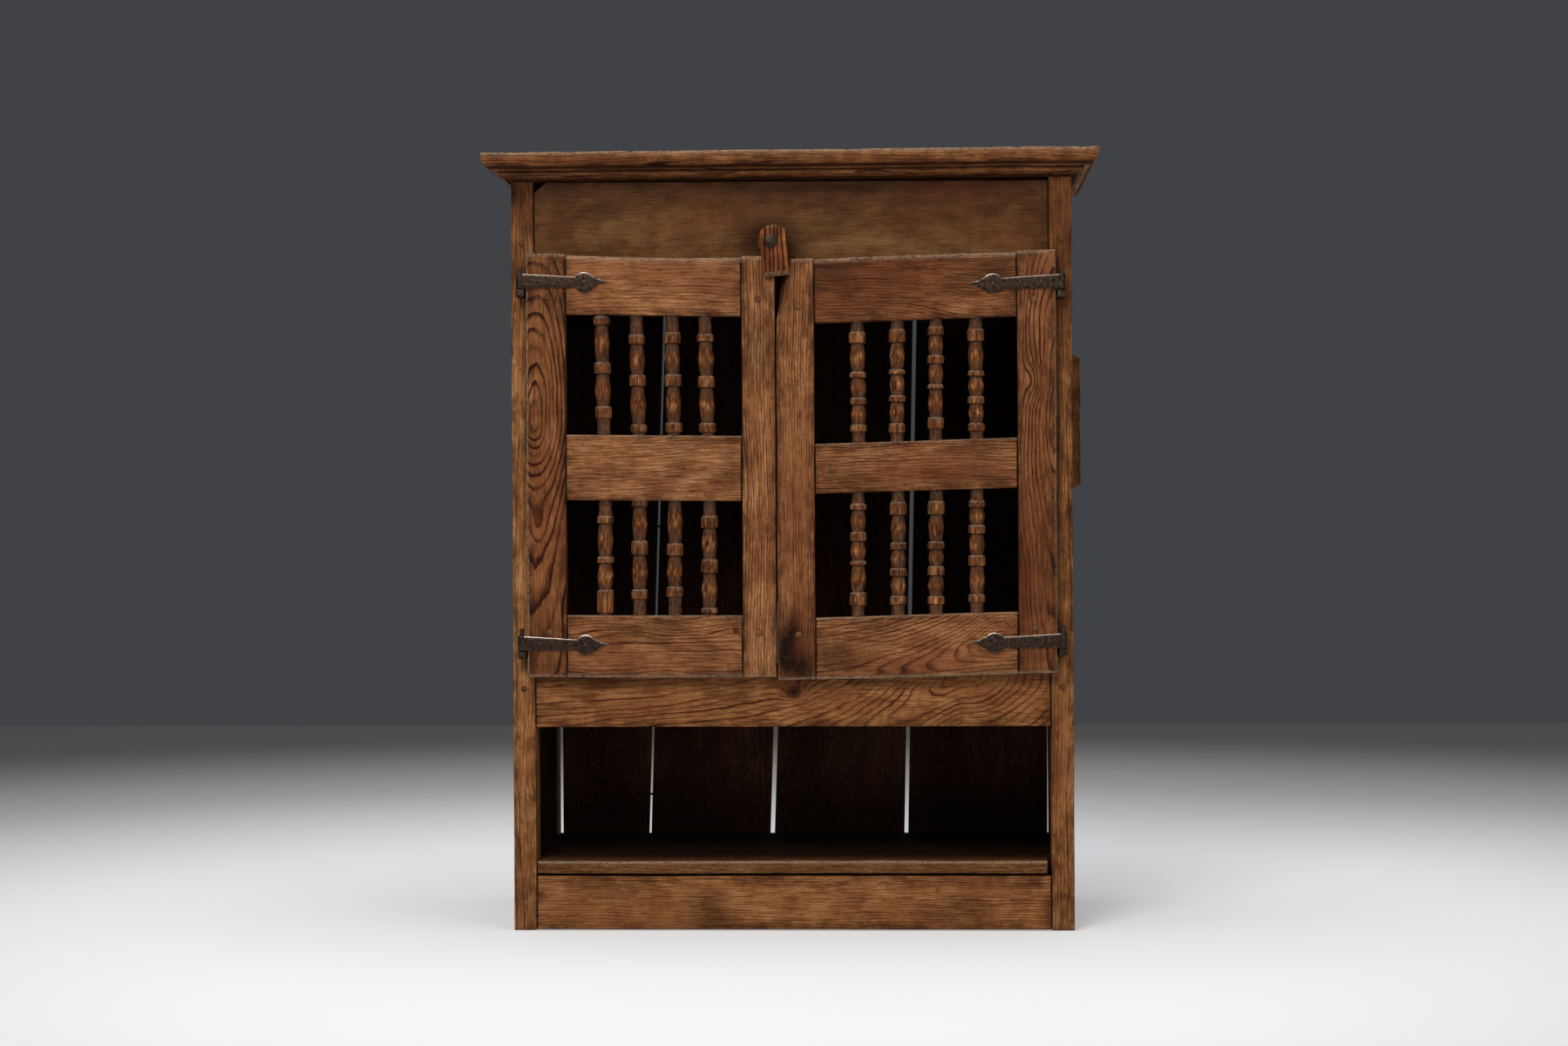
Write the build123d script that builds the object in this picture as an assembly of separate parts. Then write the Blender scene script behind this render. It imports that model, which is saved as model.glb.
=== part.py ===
from build123d import *
import math
import os
from dataclasses import dataclass

os.makedirs("parts", exist_ok=True)

# A rustic pine cupboard on four corner posts: open below, two spindled doors above, a moulded cornice.
# Millimetres. X to the right, Y to the back, Z up. The origin is on the floor, midway across the width
# and midway between the front of the cornice and the back.

# --- Overall -------------------------------------------------------------------------------------
BODY_WIDTH = 905.0
BODY_DEPTH = 450.0
TOTAL_HEIGHT = 1255.0

# --- Cornice -------------------------------------------------------------------------------------
CORNICE_HEIGHT = 42.0
CORNICE_OVERHANG = 42.5
CORNICE_EDGE = 1.5              # square edge above the fascia
CORNICE_FASCIA_DROP = 22.5      # height of the rounded fascia
CORNICE_FASCIA_SLOPE = 10.5     # how far the fascia falls back
CORNICE_FASCIA_BULGE = 2.2
CORNICE_LIP = 9.5               # underside of the fascia
CORNICE_LIP_DROP = 3.5
CORNICE_QUIRK_DEPTH = 6.5       # groove between fascia and bead
CORNICE_QUIRK_HEIGHT = 5.0
CORNICE_BEAD_RETURN = 1.0
CORNICE_BEAD_BULGE = 1.2
TOP_BOARD_THICKNESS = 18.0
TOP_BOARD_COUNT = 3
TOP_BOARD_LEDGE = 20.0          # rebate in the cornice that the top boards lie in

# --- Carcass timber ------------------------------------------------------------------------------
POST_WIDTH = 36.0
POST_DEPTH = 58.0
SIDE_THICKNESS = 22.0
SIDE_BOTTOM = 20.0              # the side boards end this far above the floor
TONGUE_DEPTH = 8.0
TONGUE_THICKNESS = 8.0
RAIL_THICKNESS = 26.0
RAIL_TENON_LENGTH = 28.0
RAIL_TENON_THICKNESS = 10.0
RAIL_SHOULDER = 15.0            # tenon set in from the rail's edges
TOP_RAIL_HEIGHT = 153.0         # its gap under the cornice included
TOP_RAIL_GAP_LEFT = 2.0         # shadow gap between the top rail and the cornice
TOP_RAIL_GAP_RIGHT = 6.0
TOP_RAIL_CHIP = 17.0            # broken top left corner of the rail
MIDDLE_RAIL_BOTTOM = 329.0
MIDDLE_RAIL_HEIGHT = 101.0
PLINTH_BOTTOM = 2.0
PLINTH_HEIGHT = 86.0
REAR_RAIL_THICKNESS = 22.0
REAR_RAIL_HEIGHT = 70.0
REAR_TENON_LENGTH = 14.0

# --- Floor and shelves ---------------------------------------------------------------------------
FLOOR_GAP = 4.0                 # dark gap between plinth rail and floor board
FLOOR_THICKNESS = 14.0
FLOOR_SHORT_LEFT = 2.0          # the floor board's front ends short of the posts
FLOOR_SHORT_RIGHT = 7.0
SHELF_THICKNESS = 20.0
UPPER_SHELF_THICKNESS = 18.0
UPPER_SHELF_BOTTOM = 720.0
UPPER_SHELF_SETBACK = 30.0
SHELF_SIDE_GAP = 0.5
BEARER_THICKNESS = 14.0
FLOOR_BEARER_HEIGHT = 30.0
MIDDLE_BEARER_HEIGHT = 85.0
MIDDLE_BEARER_LENGTH = 70.0     # short, so that daylight shows through the side gaps of the back
UPPER_BEARER_HEIGHT = 40.0

# --- Back ----------------------------------------------------------------------------------------
BACK_THICKNESS = 18.0
BACK_BOTTOM = 12.0
BACK_GAP_SIDE_LEFT = 6.0        # daylight gaps beside and between the four tapered boards
BACK_GAP_SIDE_RIGHT = 2.0
BACK_GAPS = (4.5, 8.0, 6.5)
BACK_JOINTS_BOTTOM = (-274.0, -58.0, 179.0)
BACK_JOINTS_TOP = (-234.0, -15.0, 205.0)
EDGE_PIN_HEIGHTS = (180.0, 653.0)
EDGE_PIN_RADIUS = 2.0
EDGE_PIN_GRIP = 16.0

# --- Doors ---------------------------------------------------------------------------------------
DOOR_THICKNESS = 24.0
DOOR_BACK_GAP = 1.0
DOOR_REVEAL = 27.0              # post left showing outside each door
MEETING_OFFSET = -23.0          # the doors meet left of the middle
MEETING_GAP = 2.5
STILE_HORN = 2.5                # stiles stand above the rails
DOOR_TENON_LENGTH = 36.0
DOOR_TENON_THICKNESS = 8.0
DOOR_SHOULDER = 18.0
LEFT_HINGE_STILE = 63.0
LEFT_MEETING_STILE = 53.0
LEFT_TOP_LAP = 32.5             # door over the carcass rails, along its hinge edge
LEFT_BOTTOM_LAP = 19.0
LEFT_BOTTOM_RAIL = 100.0
LEFT_LOWER_OPENING = 186.0
LEFT_MIDDLE_RAIL = 105.5
LEFT_TOP_RAIL = 95.5
LEFT_SAG_TOP = 9.0
LEFT_SAG_BOTTOM = 1.0
LEFT_SPINDLE_PITCH = 55.5
RIGHT_HINGE_STILE = 61.0
RIGHT_MEETING_STILE = 60.0
RIGHT_TOP_LAP = 31.0
RIGHT_BOTTOM_LAP = 14.0
RIGHT_BOTTOM_RAIL = 99.0
RIGHT_LOWER_OPENING = 199.5
RIGHT_MIDDLE_RAIL = 79.5
RIGHT_TOP_RAIL = 102.5
RIGHT_SAG_TOP = 12.0
RIGHT_SAG_BOTTOM = 11.0
RIGHT_SPINDLE_PITCH = 63.0
NOTCH_WIDTH = 24.0              # finger notch cut from the right meeting stile's top corner
NOTCH_HEIGHT = 94.0
NOTCH_BULGE = 4.0

# --- Spindles ------------------------------------------------------------------------------------
SPINDLE_COUNT = 4
LEFT_SPINDLE_RINGS = 3
RIGHT_SPINDLE_RINGS = 4
SPINDLE_NECK_RADIUS = 10.5
SPINDLE_BELLY_RADIUS = 12.5
SPINDLE_RING_RADIUS = 13.0
SPINDLE_RING_HEIGHT = 11.0
SPINDLE_TENON_RADIUS = 7.0
SPINDLE_TENON_LENGTH = 14.0

# --- Pegs ----------------------------------------------------------------------------------------
PEG_RADIUS = 5.0
PEG_PROUD = 1.0
DOOR_PEG_FROM_SHOULDER = 26.0
DOOR_PEG_FROM_OPENING = 27.0
FRAME_PEG_FROM_SHOULDER = 18.5
FRAME_PEG_LENGTH = 34.0
TOP_PEG_RISE = 52.0             # from each rail's lower edge
MIDDLE_PEG_RISE = 62.0
PLINTH_PEG_RISE = 54.0

# --- Strap hinges on pintles ---------------------------------------------------------------------
STRAP_THICKNESS = 3.5
STRAP_HEIGHT = 23.0
STRAP_END_TOP = 5.0             # the top edge falls to this above the middle, at the lobe
STRAP_LOBE_RADIUS = 16.0
STRAP_LOBE_ANGLE = 40.0         # where the point springs from the lobe
STRAP_TIP_HOLLOW = 2.4
STRAP_LOBE_AT = 103.0
STRAP_LOBE_DROP = 3.0
STRAP_REACH = 139.0
STRAP_TIP = 1.5
LEFT_STRAP_RISE = 5.0           # above the middle of the rail that carries it
RIGHT_STRAP_RISE = 2.0
PIN_OUTSIDE = 9.5               # pin axis outside the door's edge
PIN_RADIUS = 3.5
PIN_RISE = 11.0
EYE_WALL = 3.42
EYE_HEIGHT = 25.0
PINTLE_BLOCK_HEIGHT = 13.0
PINTLE_SHANK = 10.0
PINTLE_SHANK_DEPTH = 40.0
HINGE_PLAY = 0.3
STRAP_NAILS_AT = (31.0, 62.0)

# --- Turn button ---------------------------------------------------------------------------------
LATCH_OFFSET = -6.0             # from the meeting line
LATCH_RISE = 23.5               # nail above the left door's top
BUTTON_THICKNESS = 13.0
BUTTON_DOOR_GAP = 1.0
BUTTON_ABOVE = 25.5
BUTTON_BELOW = 56.5
BUTTON_WIDTH_TOP = 47.0
BUTTON_WIDTH_BOTTOM = 43.0
BUTTON_SIDE_OFFSET = 4.0
BUTTON_CORNER_RADIUS = 14.0
BUTTON_LEAN = 5.5
BOSS_RADIUS = 21.5
LATCH_PIN_RADIUS = 3.5
LATCH_HEAD_RADIUS = 10.0
LATCH_HEAD_HEIGHT = 2.8
LATCH_PIN_GRIP = 20.0

# --- Small ironwork ------------------------------------------------------------------------------
NAIL_RADIUS = 1.5
NAIL_HEAD_RADIUS = 4.0
NAIL_HEAD_HEIGHT = 1.8
NAIL_GRIP = 18.0
BACK_NAIL_LENGTH = 34.0
TOP_NAIL_LENGTH = 36.0
NAIL_EDGE = 30.0                # nails keep this far from a board's edge

# --- Grip on the right side ----------------------------------------------------------------------
GRIP_BOTTOM = 708.0
GRIP_HEIGHT = 232.0
GRIP_WIDTH = 34.0
GRIP_PROUD = 22.0
GRIP_BEVEL = 12.0
GRIP_SETBACK = 175.0            # its middle, from the front of the posts
GRIP_NAIL_INSET = 46.0          # from each end

# --- Fits ----------------------------------------------------------------------------------------
JOINT_GAP = 0.15                # glueless wood joints, all round
PEG_GAP = 0.1
RUNNING_GAP = 0.08              # pins that turn in eyes and bores

# --- Planes that the pieces share ----------------------------------------------------------------
HALF_WIDTH = BODY_WIDTH / 2
FRONT = -(BODY_DEPTH + CORNICE_OVERHANG) / 2 + CORNICE_OVERHANG
BACK = FRONT + BODY_DEPTH
POST_TOP = TOTAL_HEIGHT - CORNICE_HEIGHT
TOP_RAIL_BOTTOM = POST_TOP - TOP_RAIL_HEIGHT
POST_INNER = HALF_WIDTH - POST_WIDTH
SIDE_INNER = HALF_WIDTH - SIDE_THICKNESS
FRONT_POST_REAR = FRONT + POST_DEPTH
REAR_POST_FRONT = BACK - POST_DEPTH
BACK_FACE = BACK - BACK_THICKNESS
RAIL_REAR = FRONT + RAIL_THICKNESS
TOP_BOARD_BOTTOM = TOTAL_HEIGHT - TOP_BOARD_THICKNESS
FLOOR_BOTTOM = PLINTH_BOTTOM + PLINTH_HEIGHT + FLOOR_GAP
FLOOR_TOP = FLOOR_BOTTOM + FLOOR_THICKNESS
MIDDLE_RAIL_TOP = MIDDLE_RAIL_BOTTOM + MIDDLE_RAIL_HEIGHT
DOOR_REAR = FRONT - DOOR_BACK_GAP
DOOR_FRONT = DOOR_REAR - DOOR_THICKNESS
DOOR_MIDDLE = (DOOR_FRONT + DOOR_REAR) / 2
STRAP_FRONT = DOOR_FRONT - STRAP_THICKNESS
EYE_BORE = PIN_RADIUS + RUNNING_GAP
EYE_RADIUS = EYE_BORE + EYE_WALL
PIN_Y = STRAP_FRONT + EYE_RADIUS
PIN_X = HALF_WIDTH - DOOR_REVEAL + PIN_OUTSIDE
BUTTON_REAR = DOOR_FRONT - BUTTON_DOOR_GAP
BUTTON_FRONT = BUTTON_REAR - BUTTON_THICKNESS
LATCH_X = MEETING_OFFSET + LATCH_OFFSET


@dataclass
class Door:
    """One door: its side, its vertical edges and the levels of its rails along the hinge edge."""

    side: int
    meeting_edge: float
    hinge_stile: float
    meeting_stile: float
    bottom: float
    top: float
    bottom_rail: float
    lower_opening: float
    middle_rail: float
    top_rail: float
    sag_top: float
    sag_bottom: float
    pitch: float
    rings: int
    strap_rise: float

    @property
    def hinge_edge(self):
        return self.side * (HALF_WIDTH - DOOR_REVEAL)

    @property
    def hinge_inner(self):
        return self.hinge_edge - self.side * self.hinge_stile

    @property
    def meeting_inner(self):
        return self.meeting_edge + self.side * self.meeting_stile

    @property
    def levels(self):
        """Rail edges from the bottom up along the hinge edge; the upper opening takes what is left."""
        levels = [self.bottom]
        for height in (self.bottom_rail, self.lower_opening, self.middle_rail):
            levels.append(levels[-1] + height)
        return levels + [self.top - self.top_rail, self.top]

    @property
    def hinge_heights(self):
        """Middles of the two straps, each on its rail."""
        low0, low1, _, _, high0, high1 = self.levels
        return ((low0 + low1) / 2 + self.strap_rise, (high0 + high1) / 2 + self.strap_rise)

    def at(self, level, x):
        """A level carried across to x: the door has sagged towards its meeting edge."""
        levels = self.levels
        across = (x - self.hinge_edge) / (self.meeting_edge - self.hinge_edge)
        share = (level - levels[0]) / (levels[-1] - levels[0])
        return level - across * (self.sag_bottom + (self.sag_top - self.sag_bottom) * share)


LEFT_DOOR = Door(-1, MEETING_OFFSET - MEETING_GAP / 2, LEFT_HINGE_STILE, LEFT_MEETING_STILE,
                 MIDDLE_RAIL_TOP - LEFT_BOTTOM_LAP, TOP_RAIL_BOTTOM + LEFT_TOP_LAP,
                 LEFT_BOTTOM_RAIL, LEFT_LOWER_OPENING, LEFT_MIDDLE_RAIL, LEFT_TOP_RAIL,
                 LEFT_SAG_TOP, LEFT_SAG_BOTTOM, LEFT_SPINDLE_PITCH, LEFT_SPINDLE_RINGS, LEFT_STRAP_RISE)
RIGHT_DOOR = Door(1, MEETING_OFFSET + MEETING_GAP / 2, RIGHT_HINGE_STILE, RIGHT_MEETING_STILE,
                  MIDDLE_RAIL_TOP - RIGHT_BOTTOM_LAP, TOP_RAIL_BOTTOM + RIGHT_TOP_LAP,
                  RIGHT_BOTTOM_RAIL, RIGHT_LOWER_OPENING, RIGHT_MIDDLE_RAIL, RIGHT_TOP_RAIL,
                  RIGHT_SAG_TOP, RIGHT_SAG_BOTTOM, RIGHT_SPINDLE_PITCH, RIGHT_SPINDLE_RINGS, RIGHT_STRAP_RISE)
LATCH_Z = LEFT_DOOR.at(LEFT_DOOR.levels[-1], LEFT_DOOR.meeting_edge) + STILE_HORN + LATCH_RISE


# --- Helpers -------------------------------------------------------------------------------------
def block(x0, x1, y0, y1, z0, z1):
    """A box between two corners, given in either order along X."""
    centre = Pos((x0 + x1) / 2, (y0 + y1) / 2, (z0 + z1) / 2)
    return centre * Box(abs(x1 - x0), abs(y1 - y0), abs(z1 - z0))


def swell(box, gap=JOINT_GAP):
    """The hole for a block: the block's corners moved out by the joint's gap."""
    x0, x1, y0, y1, z0, z1 = box
    left, right = min(x0, x1), max(x0, x1)
    return block(left - gap, right + gap, y0 - gap, y1 + gap, z0 - gap, z1 + gap)


def bowed(start, end, bulge):
    """An arc that bows to the left of the line from start to end, or to the right if negative."""
    run, rise = end[0] - start[0], end[1] - start[1]
    length = math.hypot(run, rise)
    middle_x, middle_y = (start[0] + end[0]) / 2, (start[1] + end[1]) / 2
    return ThreePointArc(start, (middle_x - bulge * rise / length, middle_y + bulge * run / length), end)


def upright(outline, y_front, y_rear):
    """A flat outline in (x, z), stood up and given its thickness between two planes across Y."""
    return Pos(0, y_front, 0) * extrude(Plane.XZ * outline, amount=y_rear - y_front, dir=(0, 1, 0))


def slab(points, y_front, y_rear):
    """A board cut to a straight-sided outline of (x, z) points."""
    return upright(make_face(Polyline(*points, close=True)), y_front, y_rear)


def rod(radius, x, z, y_front, y_rear):
    """A cylinder lying along Y."""
    middle = Pos(x, (y_front + y_rear) / 2, z)
    return middle * Rot(90, 0, 0) * Cylinder(radius, y_rear - y_front)


def mirrored(part):
    return mirror(part, about=Plane.YZ)


def save(name, shape):
    """Write one node; a list of solids becomes a compound."""
    if isinstance(shape, list):
        shape = Compound(children=[solid for piece in shape for solid in piece.solids()])
    shape.label = name
    export_step(shape, f"parts/{name}.step")


# --- Rails of the carcass ------------------------------------------------------------------------
def rail_tenons(z0, z1):
    """The two tenons of a front rail between the shoulders, as corner values."""
    middle = FRONT + RAIL_THICKNESS / 2
    y0 = middle - RAIL_TENON_THICKNESS / 2
    y1 = middle + RAIL_TENON_THICKNESS / 2
    return [(side * POST_INNER, side * (POST_INNER + RAIL_TENON_LENGTH), y0, y1,
             z0 + RAIL_SHOULDER, z1 - RAIL_SHOULDER) for side in (-1, 1)]


def rear_tenons(z0, z1):
    """The two tenons of a rear rail: narrower, into the rear posts."""
    middle = BACK_FACE - REAR_RAIL_THICKNESS / 2
    y0 = middle - RAIL_TENON_THICKNESS / 2
    y1 = middle + RAIL_TENON_THICKNESS / 2
    return [(side * SIDE_INNER, side * (SIDE_INNER + REAR_TENON_LENGTH), y0, y1,
             z0 + RAIL_SHOULDER, z1 - RAIL_SHOULDER) for side in (-1, 1)]


def frame_peg_places():
    """(x, z) of the pegs through the front rails' tenons."""
    heights = (TOP_RAIL_BOTTOM + TOP_PEG_RISE, MIDDLE_RAIL_BOTTOM + MIDDLE_PEG_RISE,
               PLINTH_BOTTOM + PLINTH_PEG_RISE)
    reach = POST_INNER + FRAME_PEG_FROM_SHOULDER
    return [(side * reach, z) for side in (-1, 1) for z in heights]


def frame_peg_holes():
    return [rod(PEG_RADIUS + PEG_GAP, x, z, FRONT - PEG_PROUD, FRONT + FRAME_PEG_LENGTH + PEG_GAP)
            for x, z in frame_peg_places()]


def front_rails():
    """Top, middle and plinth rail with their tenons; the top rail slopes and has lost a corner."""
    top_left = POST_TOP - TOP_RAIL_GAP_LEFT
    top_right = POST_TOP - TOP_RAIL_GAP_RIGHT
    top = slab([(-POST_INNER, TOP_RAIL_BOTTOM), (POST_INNER, TOP_RAIL_BOTTOM), (POST_INNER, top_right),
                (-POST_INNER + TOP_RAIL_CHIP, top_left), (-POST_INNER, top_left - TOP_RAIL_CHIP)],
               FRONT, RAIL_REAR)
    top_tenons = rail_tenons(TOP_RAIL_BOTTOM, top_right - TOP_RAIL_CHIP / 2)
    middle = block(-POST_INNER, POST_INNER, FRONT, RAIL_REAR, MIDDLE_RAIL_BOTTOM, MIDDLE_RAIL_TOP)
    middle_tenons = rail_tenons(MIDDLE_RAIL_BOTTOM, MIDDLE_RAIL_TOP)
    plinth_top = PLINTH_BOTTOM + PLINTH_HEIGHT
    plinth = block(-POST_INNER, POST_INNER, FRONT, RAIL_REAR, PLINTH_BOTTOM, plinth_top)
    plinth_tenons = rail_tenons(PLINTH_BOTTOM, plinth_top)
    rails = {}
    for name, board, tenons in (("front_top_rail", top, top_tenons),
                                ("front_middle_rail", middle, middle_tenons),
                                ("front_plinth_rail", plinth, plinth_tenons)):
        for tenon in tenons:
            board += block(*tenon)
        board -= frame_peg_holes()
        rails[name] = board
    rails["front_top_rail"] -= rod(LATCH_PIN_RADIUS + PEG_GAP, LATCH_X, LATCH_Z, FRONT,
                                   FRONT + LATCH_PIN_GRIP + PEG_GAP)
    return rails, top_tenons + middle_tenons + plinth_tenons


def rear_rail_spans():
    """(bottom, top) of the two rear rails: under the floor board and under the top boards."""
    return ((FLOOR_BOTTOM - REAR_RAIL_HEIGHT, FLOOR_BOTTOM), (POST_TOP - REAR_RAIL_HEIGHT, POST_TOP))


def rear_rails():
    """The lower rail carries the floor; the upper one also fills up to the top boards."""
    rails, tenons = [], []
    for z0, z1 in rear_rail_spans():
        rail = block(-SIDE_INNER, SIDE_INNER, BACK_FACE - REAR_RAIL_THICKNESS, BACK_FACE, z0, z1)
        for tenon in rear_tenons(z0, z1):
            rail += block(*tenon)
            tenons.append(tenon)
        rails.append(rail)
    rails[1] += block(-SIDE_INNER, SIDE_INNER, BACK_FACE - REAR_RAIL_THICKNESS, BACK_FACE,
                      POST_TOP, TOP_BOARD_BOTTOM)
    return rails, tenons


# --- Hinges --------------------------------------------------------------------------------------
def eye_bottom(middle):
    return middle - EYE_HEIGHT / 2


def pintle(door, middle):
    """Block, shank and upright pin that one strap's eye drops on."""
    x = door.side * PIN_X
    top = eye_bottom(middle) - HINGE_PLAY
    bottom = top - PINTLE_BLOCK_HEIGHT
    head = Pos(x, PIN_Y, (top + bottom) / 2) * Cylinder(EYE_RADIUS, PINTLE_BLOCK_HEIGHT)
    head += block(x - EYE_RADIUS, x + EYE_RADIUS, PIN_Y, FRONT, bottom, top)
    pin_top = middle + EYE_HEIGHT / 2 + PIN_RISE
    pin = Pos(x, PIN_Y, (bottom + pin_top) / 2) * Cylinder(PIN_RADIUS, pin_top - bottom)
    return head + pin + block(*shank(door, middle))


def shank(door, middle):
    """Corner values of a pintle's square shank in its post."""
    x = door.side * PIN_X
    centre = eye_bottom(middle) - HINGE_PLAY - PINTLE_BLOCK_HEIGHT / 2
    half = PINTLE_SHANK / 2
    return (x - half, x + half, FRONT, FRONT + PINTLE_SHANK_DEPTH, centre - half, centre + half)


def strap_nail_places(door, middle):
    """(x, z) of the nails: two in the bar, one in the lobe."""
    pin = door.side * PIN_X
    places = [(pin - door.side * along, middle - STRAP_TIP) for along in STRAP_NAILS_AT]
    places.append((pin - door.side * STRAP_LOBE_AT, middle - STRAP_LOBE_DROP))
    return places


def strap_plate():
    """Outline in (along, rise) from the pin: tapered bar, round lobe, hollow-sided point."""
    half = STRAP_HEIGHT / 2
    lobe_level = -STRAP_LOBE_DROP
    bar = make_face(Polyline((0, half), (STRAP_LOBE_AT, STRAP_END_TOP), (STRAP_LOBE_AT, -half), (0, -half),
                             close=True))
    lobe = Pos(STRAP_LOBE_AT, lobe_level) * Circle(STRAP_LOBE_RADIUS)
    angle = math.radians(STRAP_LOBE_ANGLE)
    start = STRAP_LOBE_AT + STRAP_LOBE_RADIUS * math.cos(angle)
    rise = STRAP_LOBE_RADIUS * math.sin(angle)
    upper = bowed((start, lobe_level + rise), (STRAP_REACH, lobe_level + STRAP_TIP), -STRAP_TIP_HOLLOW)
    lower = bowed((STRAP_REACH, lobe_level), (start, lobe_level - rise), -STRAP_TIP_HOLLOW)
    point = make_face([upper, Line(upper @ 1, lower @ 0), lower, Line(lower @ 1, upper @ 0)])
    return bar + lobe + point


def strap(door, middle):
    """Forged strap with the eye rolled round the pin; made for the left door and mirrored for the right."""
    plate = upright(Pos(-PIN_X, middle) * strap_plate(), STRAP_FRONT, DOOR_FRONT)
    eye = Pos(-PIN_X, PIN_Y, middle) * Cylinder(EYE_RADIUS, EYE_HEIGHT)
    bore = Pos(-PIN_X, PIN_Y, middle) * Cylinder(EYE_BORE, EYE_HEIGHT + STRAP_HEIGHT)
    whole = plate + eye - bore
    if door.side > 0:
        whole = mirrored(whole)
    return whole - [rod(NAIL_RADIUS + PEG_GAP, x, z, STRAP_FRONT, DOOR_FRONT)
                    for x, z in strap_nail_places(door, middle)]


def strap_nail(x, z):
    head = rod(NAIL_HEAD_RADIUS, x, z, STRAP_FRONT - NAIL_HEAD_HEIGHT, STRAP_FRONT)
    return head + rod(NAIL_RADIUS, x, z, STRAP_FRONT, DOOR_FRONT + NAIL_GRIP)


# --- Corner posts --------------------------------------------------------------------------------
def side_tongues():
    """(y0, y1) of the tongues along the side boards' joints, front post to rear post."""
    seam = (FRONT_POST_REAR + REAR_POST_FRONT) / 2
    return ((FRONT_POST_REAR - TONGUE_DEPTH, FRONT_POST_REAR), (seam, seam + TONGUE_DEPTH),
            (REAR_POST_FRONT, REAR_POST_FRONT + TONGUE_DEPTH))


def tongue_box(side, span):
    middle = HALF_WIDTH - SIDE_THICKNESS / 2
    inner = side * (middle - TONGUE_THICKNESS / 2)
    outer = side * (middle + TONGUE_THICKNESS / 2)
    return (inner, outer, span[0], span[1], SIDE_BOTTOM, POST_TOP)


def posts(tenons, back_tenons):
    """Four posts; the rear ones are as thin as the sides so the back boards reach the corners."""
    made = {}
    front_tongue, _, rear_tongue = side_tongues()
    for door, word in ((LEFT_DOOR, "left"), (RIGHT_DOOR, "right")):
        side = door.side
        front = block(side * POST_INNER, side * HALF_WIDTH, FRONT, FRONT_POST_REAR, 0, POST_TOP)
        front -= [swell(tenon) for tenon in tenons if tenon[0] * side > 0]
        front -= frame_peg_holes()
        front -= [swell(shank(door, middle)) for middle in door.hinge_heights]
        front -= swell(tongue_box(side, front_tongue))
        rear = block(side * SIDE_INNER, side * HALF_WIDTH, REAR_POST_FRONT, BACK, 0, POST_TOP)
        rear -= [swell(tenon) for tenon in back_tenons if tenon[0] * side > 0]
        rear -= swell(tongue_box(side, rear_tongue))
        made[f"front_post_{word}"] = front
        made[f"rear_post_{word}"] = rear
    return made


def side_boards(side):
    """Two upright boards, tongued into the posts and into each other."""
    front_tongue, seam_tongue, rear_tongue = side_tongues()
    seam = seam_tongue[0]
    edges = (side * SIDE_INNER, side * HALF_WIDTH)
    front = block(*edges, FRONT_POST_REAR, seam, SIDE_BOTTOM, POST_TOP)
    front += block(*tongue_box(side, front_tongue))
    front += block(*tongue_box(side, seam_tongue))
    rear = block(*edges, seam, REAR_POST_FRONT, SIDE_BOTTOM, POST_TOP)
    rear -= swell(tongue_box(side, seam_tongue))
    rear += block(*tongue_box(side, rear_tongue))
    if side > 0:
        front -= [grip_nail(z, PEG_GAP) for z in grip_nail_heights()]
    return [front, rear]


# --- Floor, shelves and bearers ------------------------------------------------------------------
def floor_board():
    """Runs forward between the posts to the front plane, short of each post."""
    reach = SIDE_INNER - SHELF_SIDE_GAP
    rear_edge = FRONT_POST_REAR + SHELF_SIDE_GAP
    board = block(-reach, reach, rear_edge, BACK_FACE, FLOOR_BOTTOM, FLOOR_TOP)
    board += block(-POST_INNER + FLOOR_SHORT_LEFT, POST_INNER - FLOOR_SHORT_RIGHT, FRONT, rear_edge,
                   FLOOR_BOTTOM, FLOOR_TOP)
    return board


def middle_shelf():
    """Behind the middle rail, notched round the posts."""
    reach = SIDE_INNER - SHELF_SIDE_GAP
    rear_edge = FRONT_POST_REAR + SHELF_SIDE_GAP
    top = MIDDLE_RAIL_BOTTOM + SHELF_THICKNESS
    board = block(-reach, reach, rear_edge, BACK_FACE, MIDDLE_RAIL_BOTTOM, top)
    inner = POST_INNER - SHELF_SIDE_GAP
    return board + block(-inner, inner, RAIL_REAR, rear_edge, MIDDLE_RAIL_BOTTOM, top)


def upper_shelf():
    reach = SIDE_INNER - SHELF_SIDE_GAP
    rear_edge = FRONT_POST_REAR + SHELF_SIDE_GAP
    top = UPPER_SHELF_BOTTOM + UPPER_SHELF_THICKNESS
    board = block(-reach, reach, rear_edge, BACK_FACE, UPPER_SHELF_BOTTOM, top)
    inner = POST_INNER - SHELF_SIDE_GAP
    return board + block(-inner, inner, FRONT + UPPER_SHELF_SETBACK, rear_edge, UPPER_SHELF_BOTTOM, top)


def shelf_bearers():
    """Battens on the side boards under floor and upper shelf, short blocks under the middle shelf."""
    bearers = []
    full_rear = BACK_FACE - REAR_RAIL_THICKNESS
    middle_rear = FRONT_POST_REAR + MIDDLE_BEARER_LENGTH
    for top, height, rear in ((FLOOR_BOTTOM, FLOOR_BEARER_HEIGHT, full_rear),
                              (MIDDLE_RAIL_BOTTOM, MIDDLE_BEARER_HEIGHT, middle_rear),
                              (UPPER_SHELF_BOTTOM, UPPER_BEARER_HEIGHT, full_rear)):
        bearer = block(-SIDE_INNER, -SIDE_INNER + BEARER_THICKNESS, FRONT_POST_REAR, rear, top - height, top)
        bearers += [bearer, mirrored(bearer)]
    return bearers


# --- Back boards ---------------------------------------------------------------------------------
def joint_at(index, z):
    """Middle of the gap between two back boards, at a height."""
    share = (z - BACK_BOTTOM) / (TOP_BOARD_BOTTOM - BACK_BOTTOM)
    return BACK_JOINTS_BOTTOM[index] + (BACK_JOINTS_TOP[index] - BACK_JOINTS_BOTTOM[index]) * share


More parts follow.
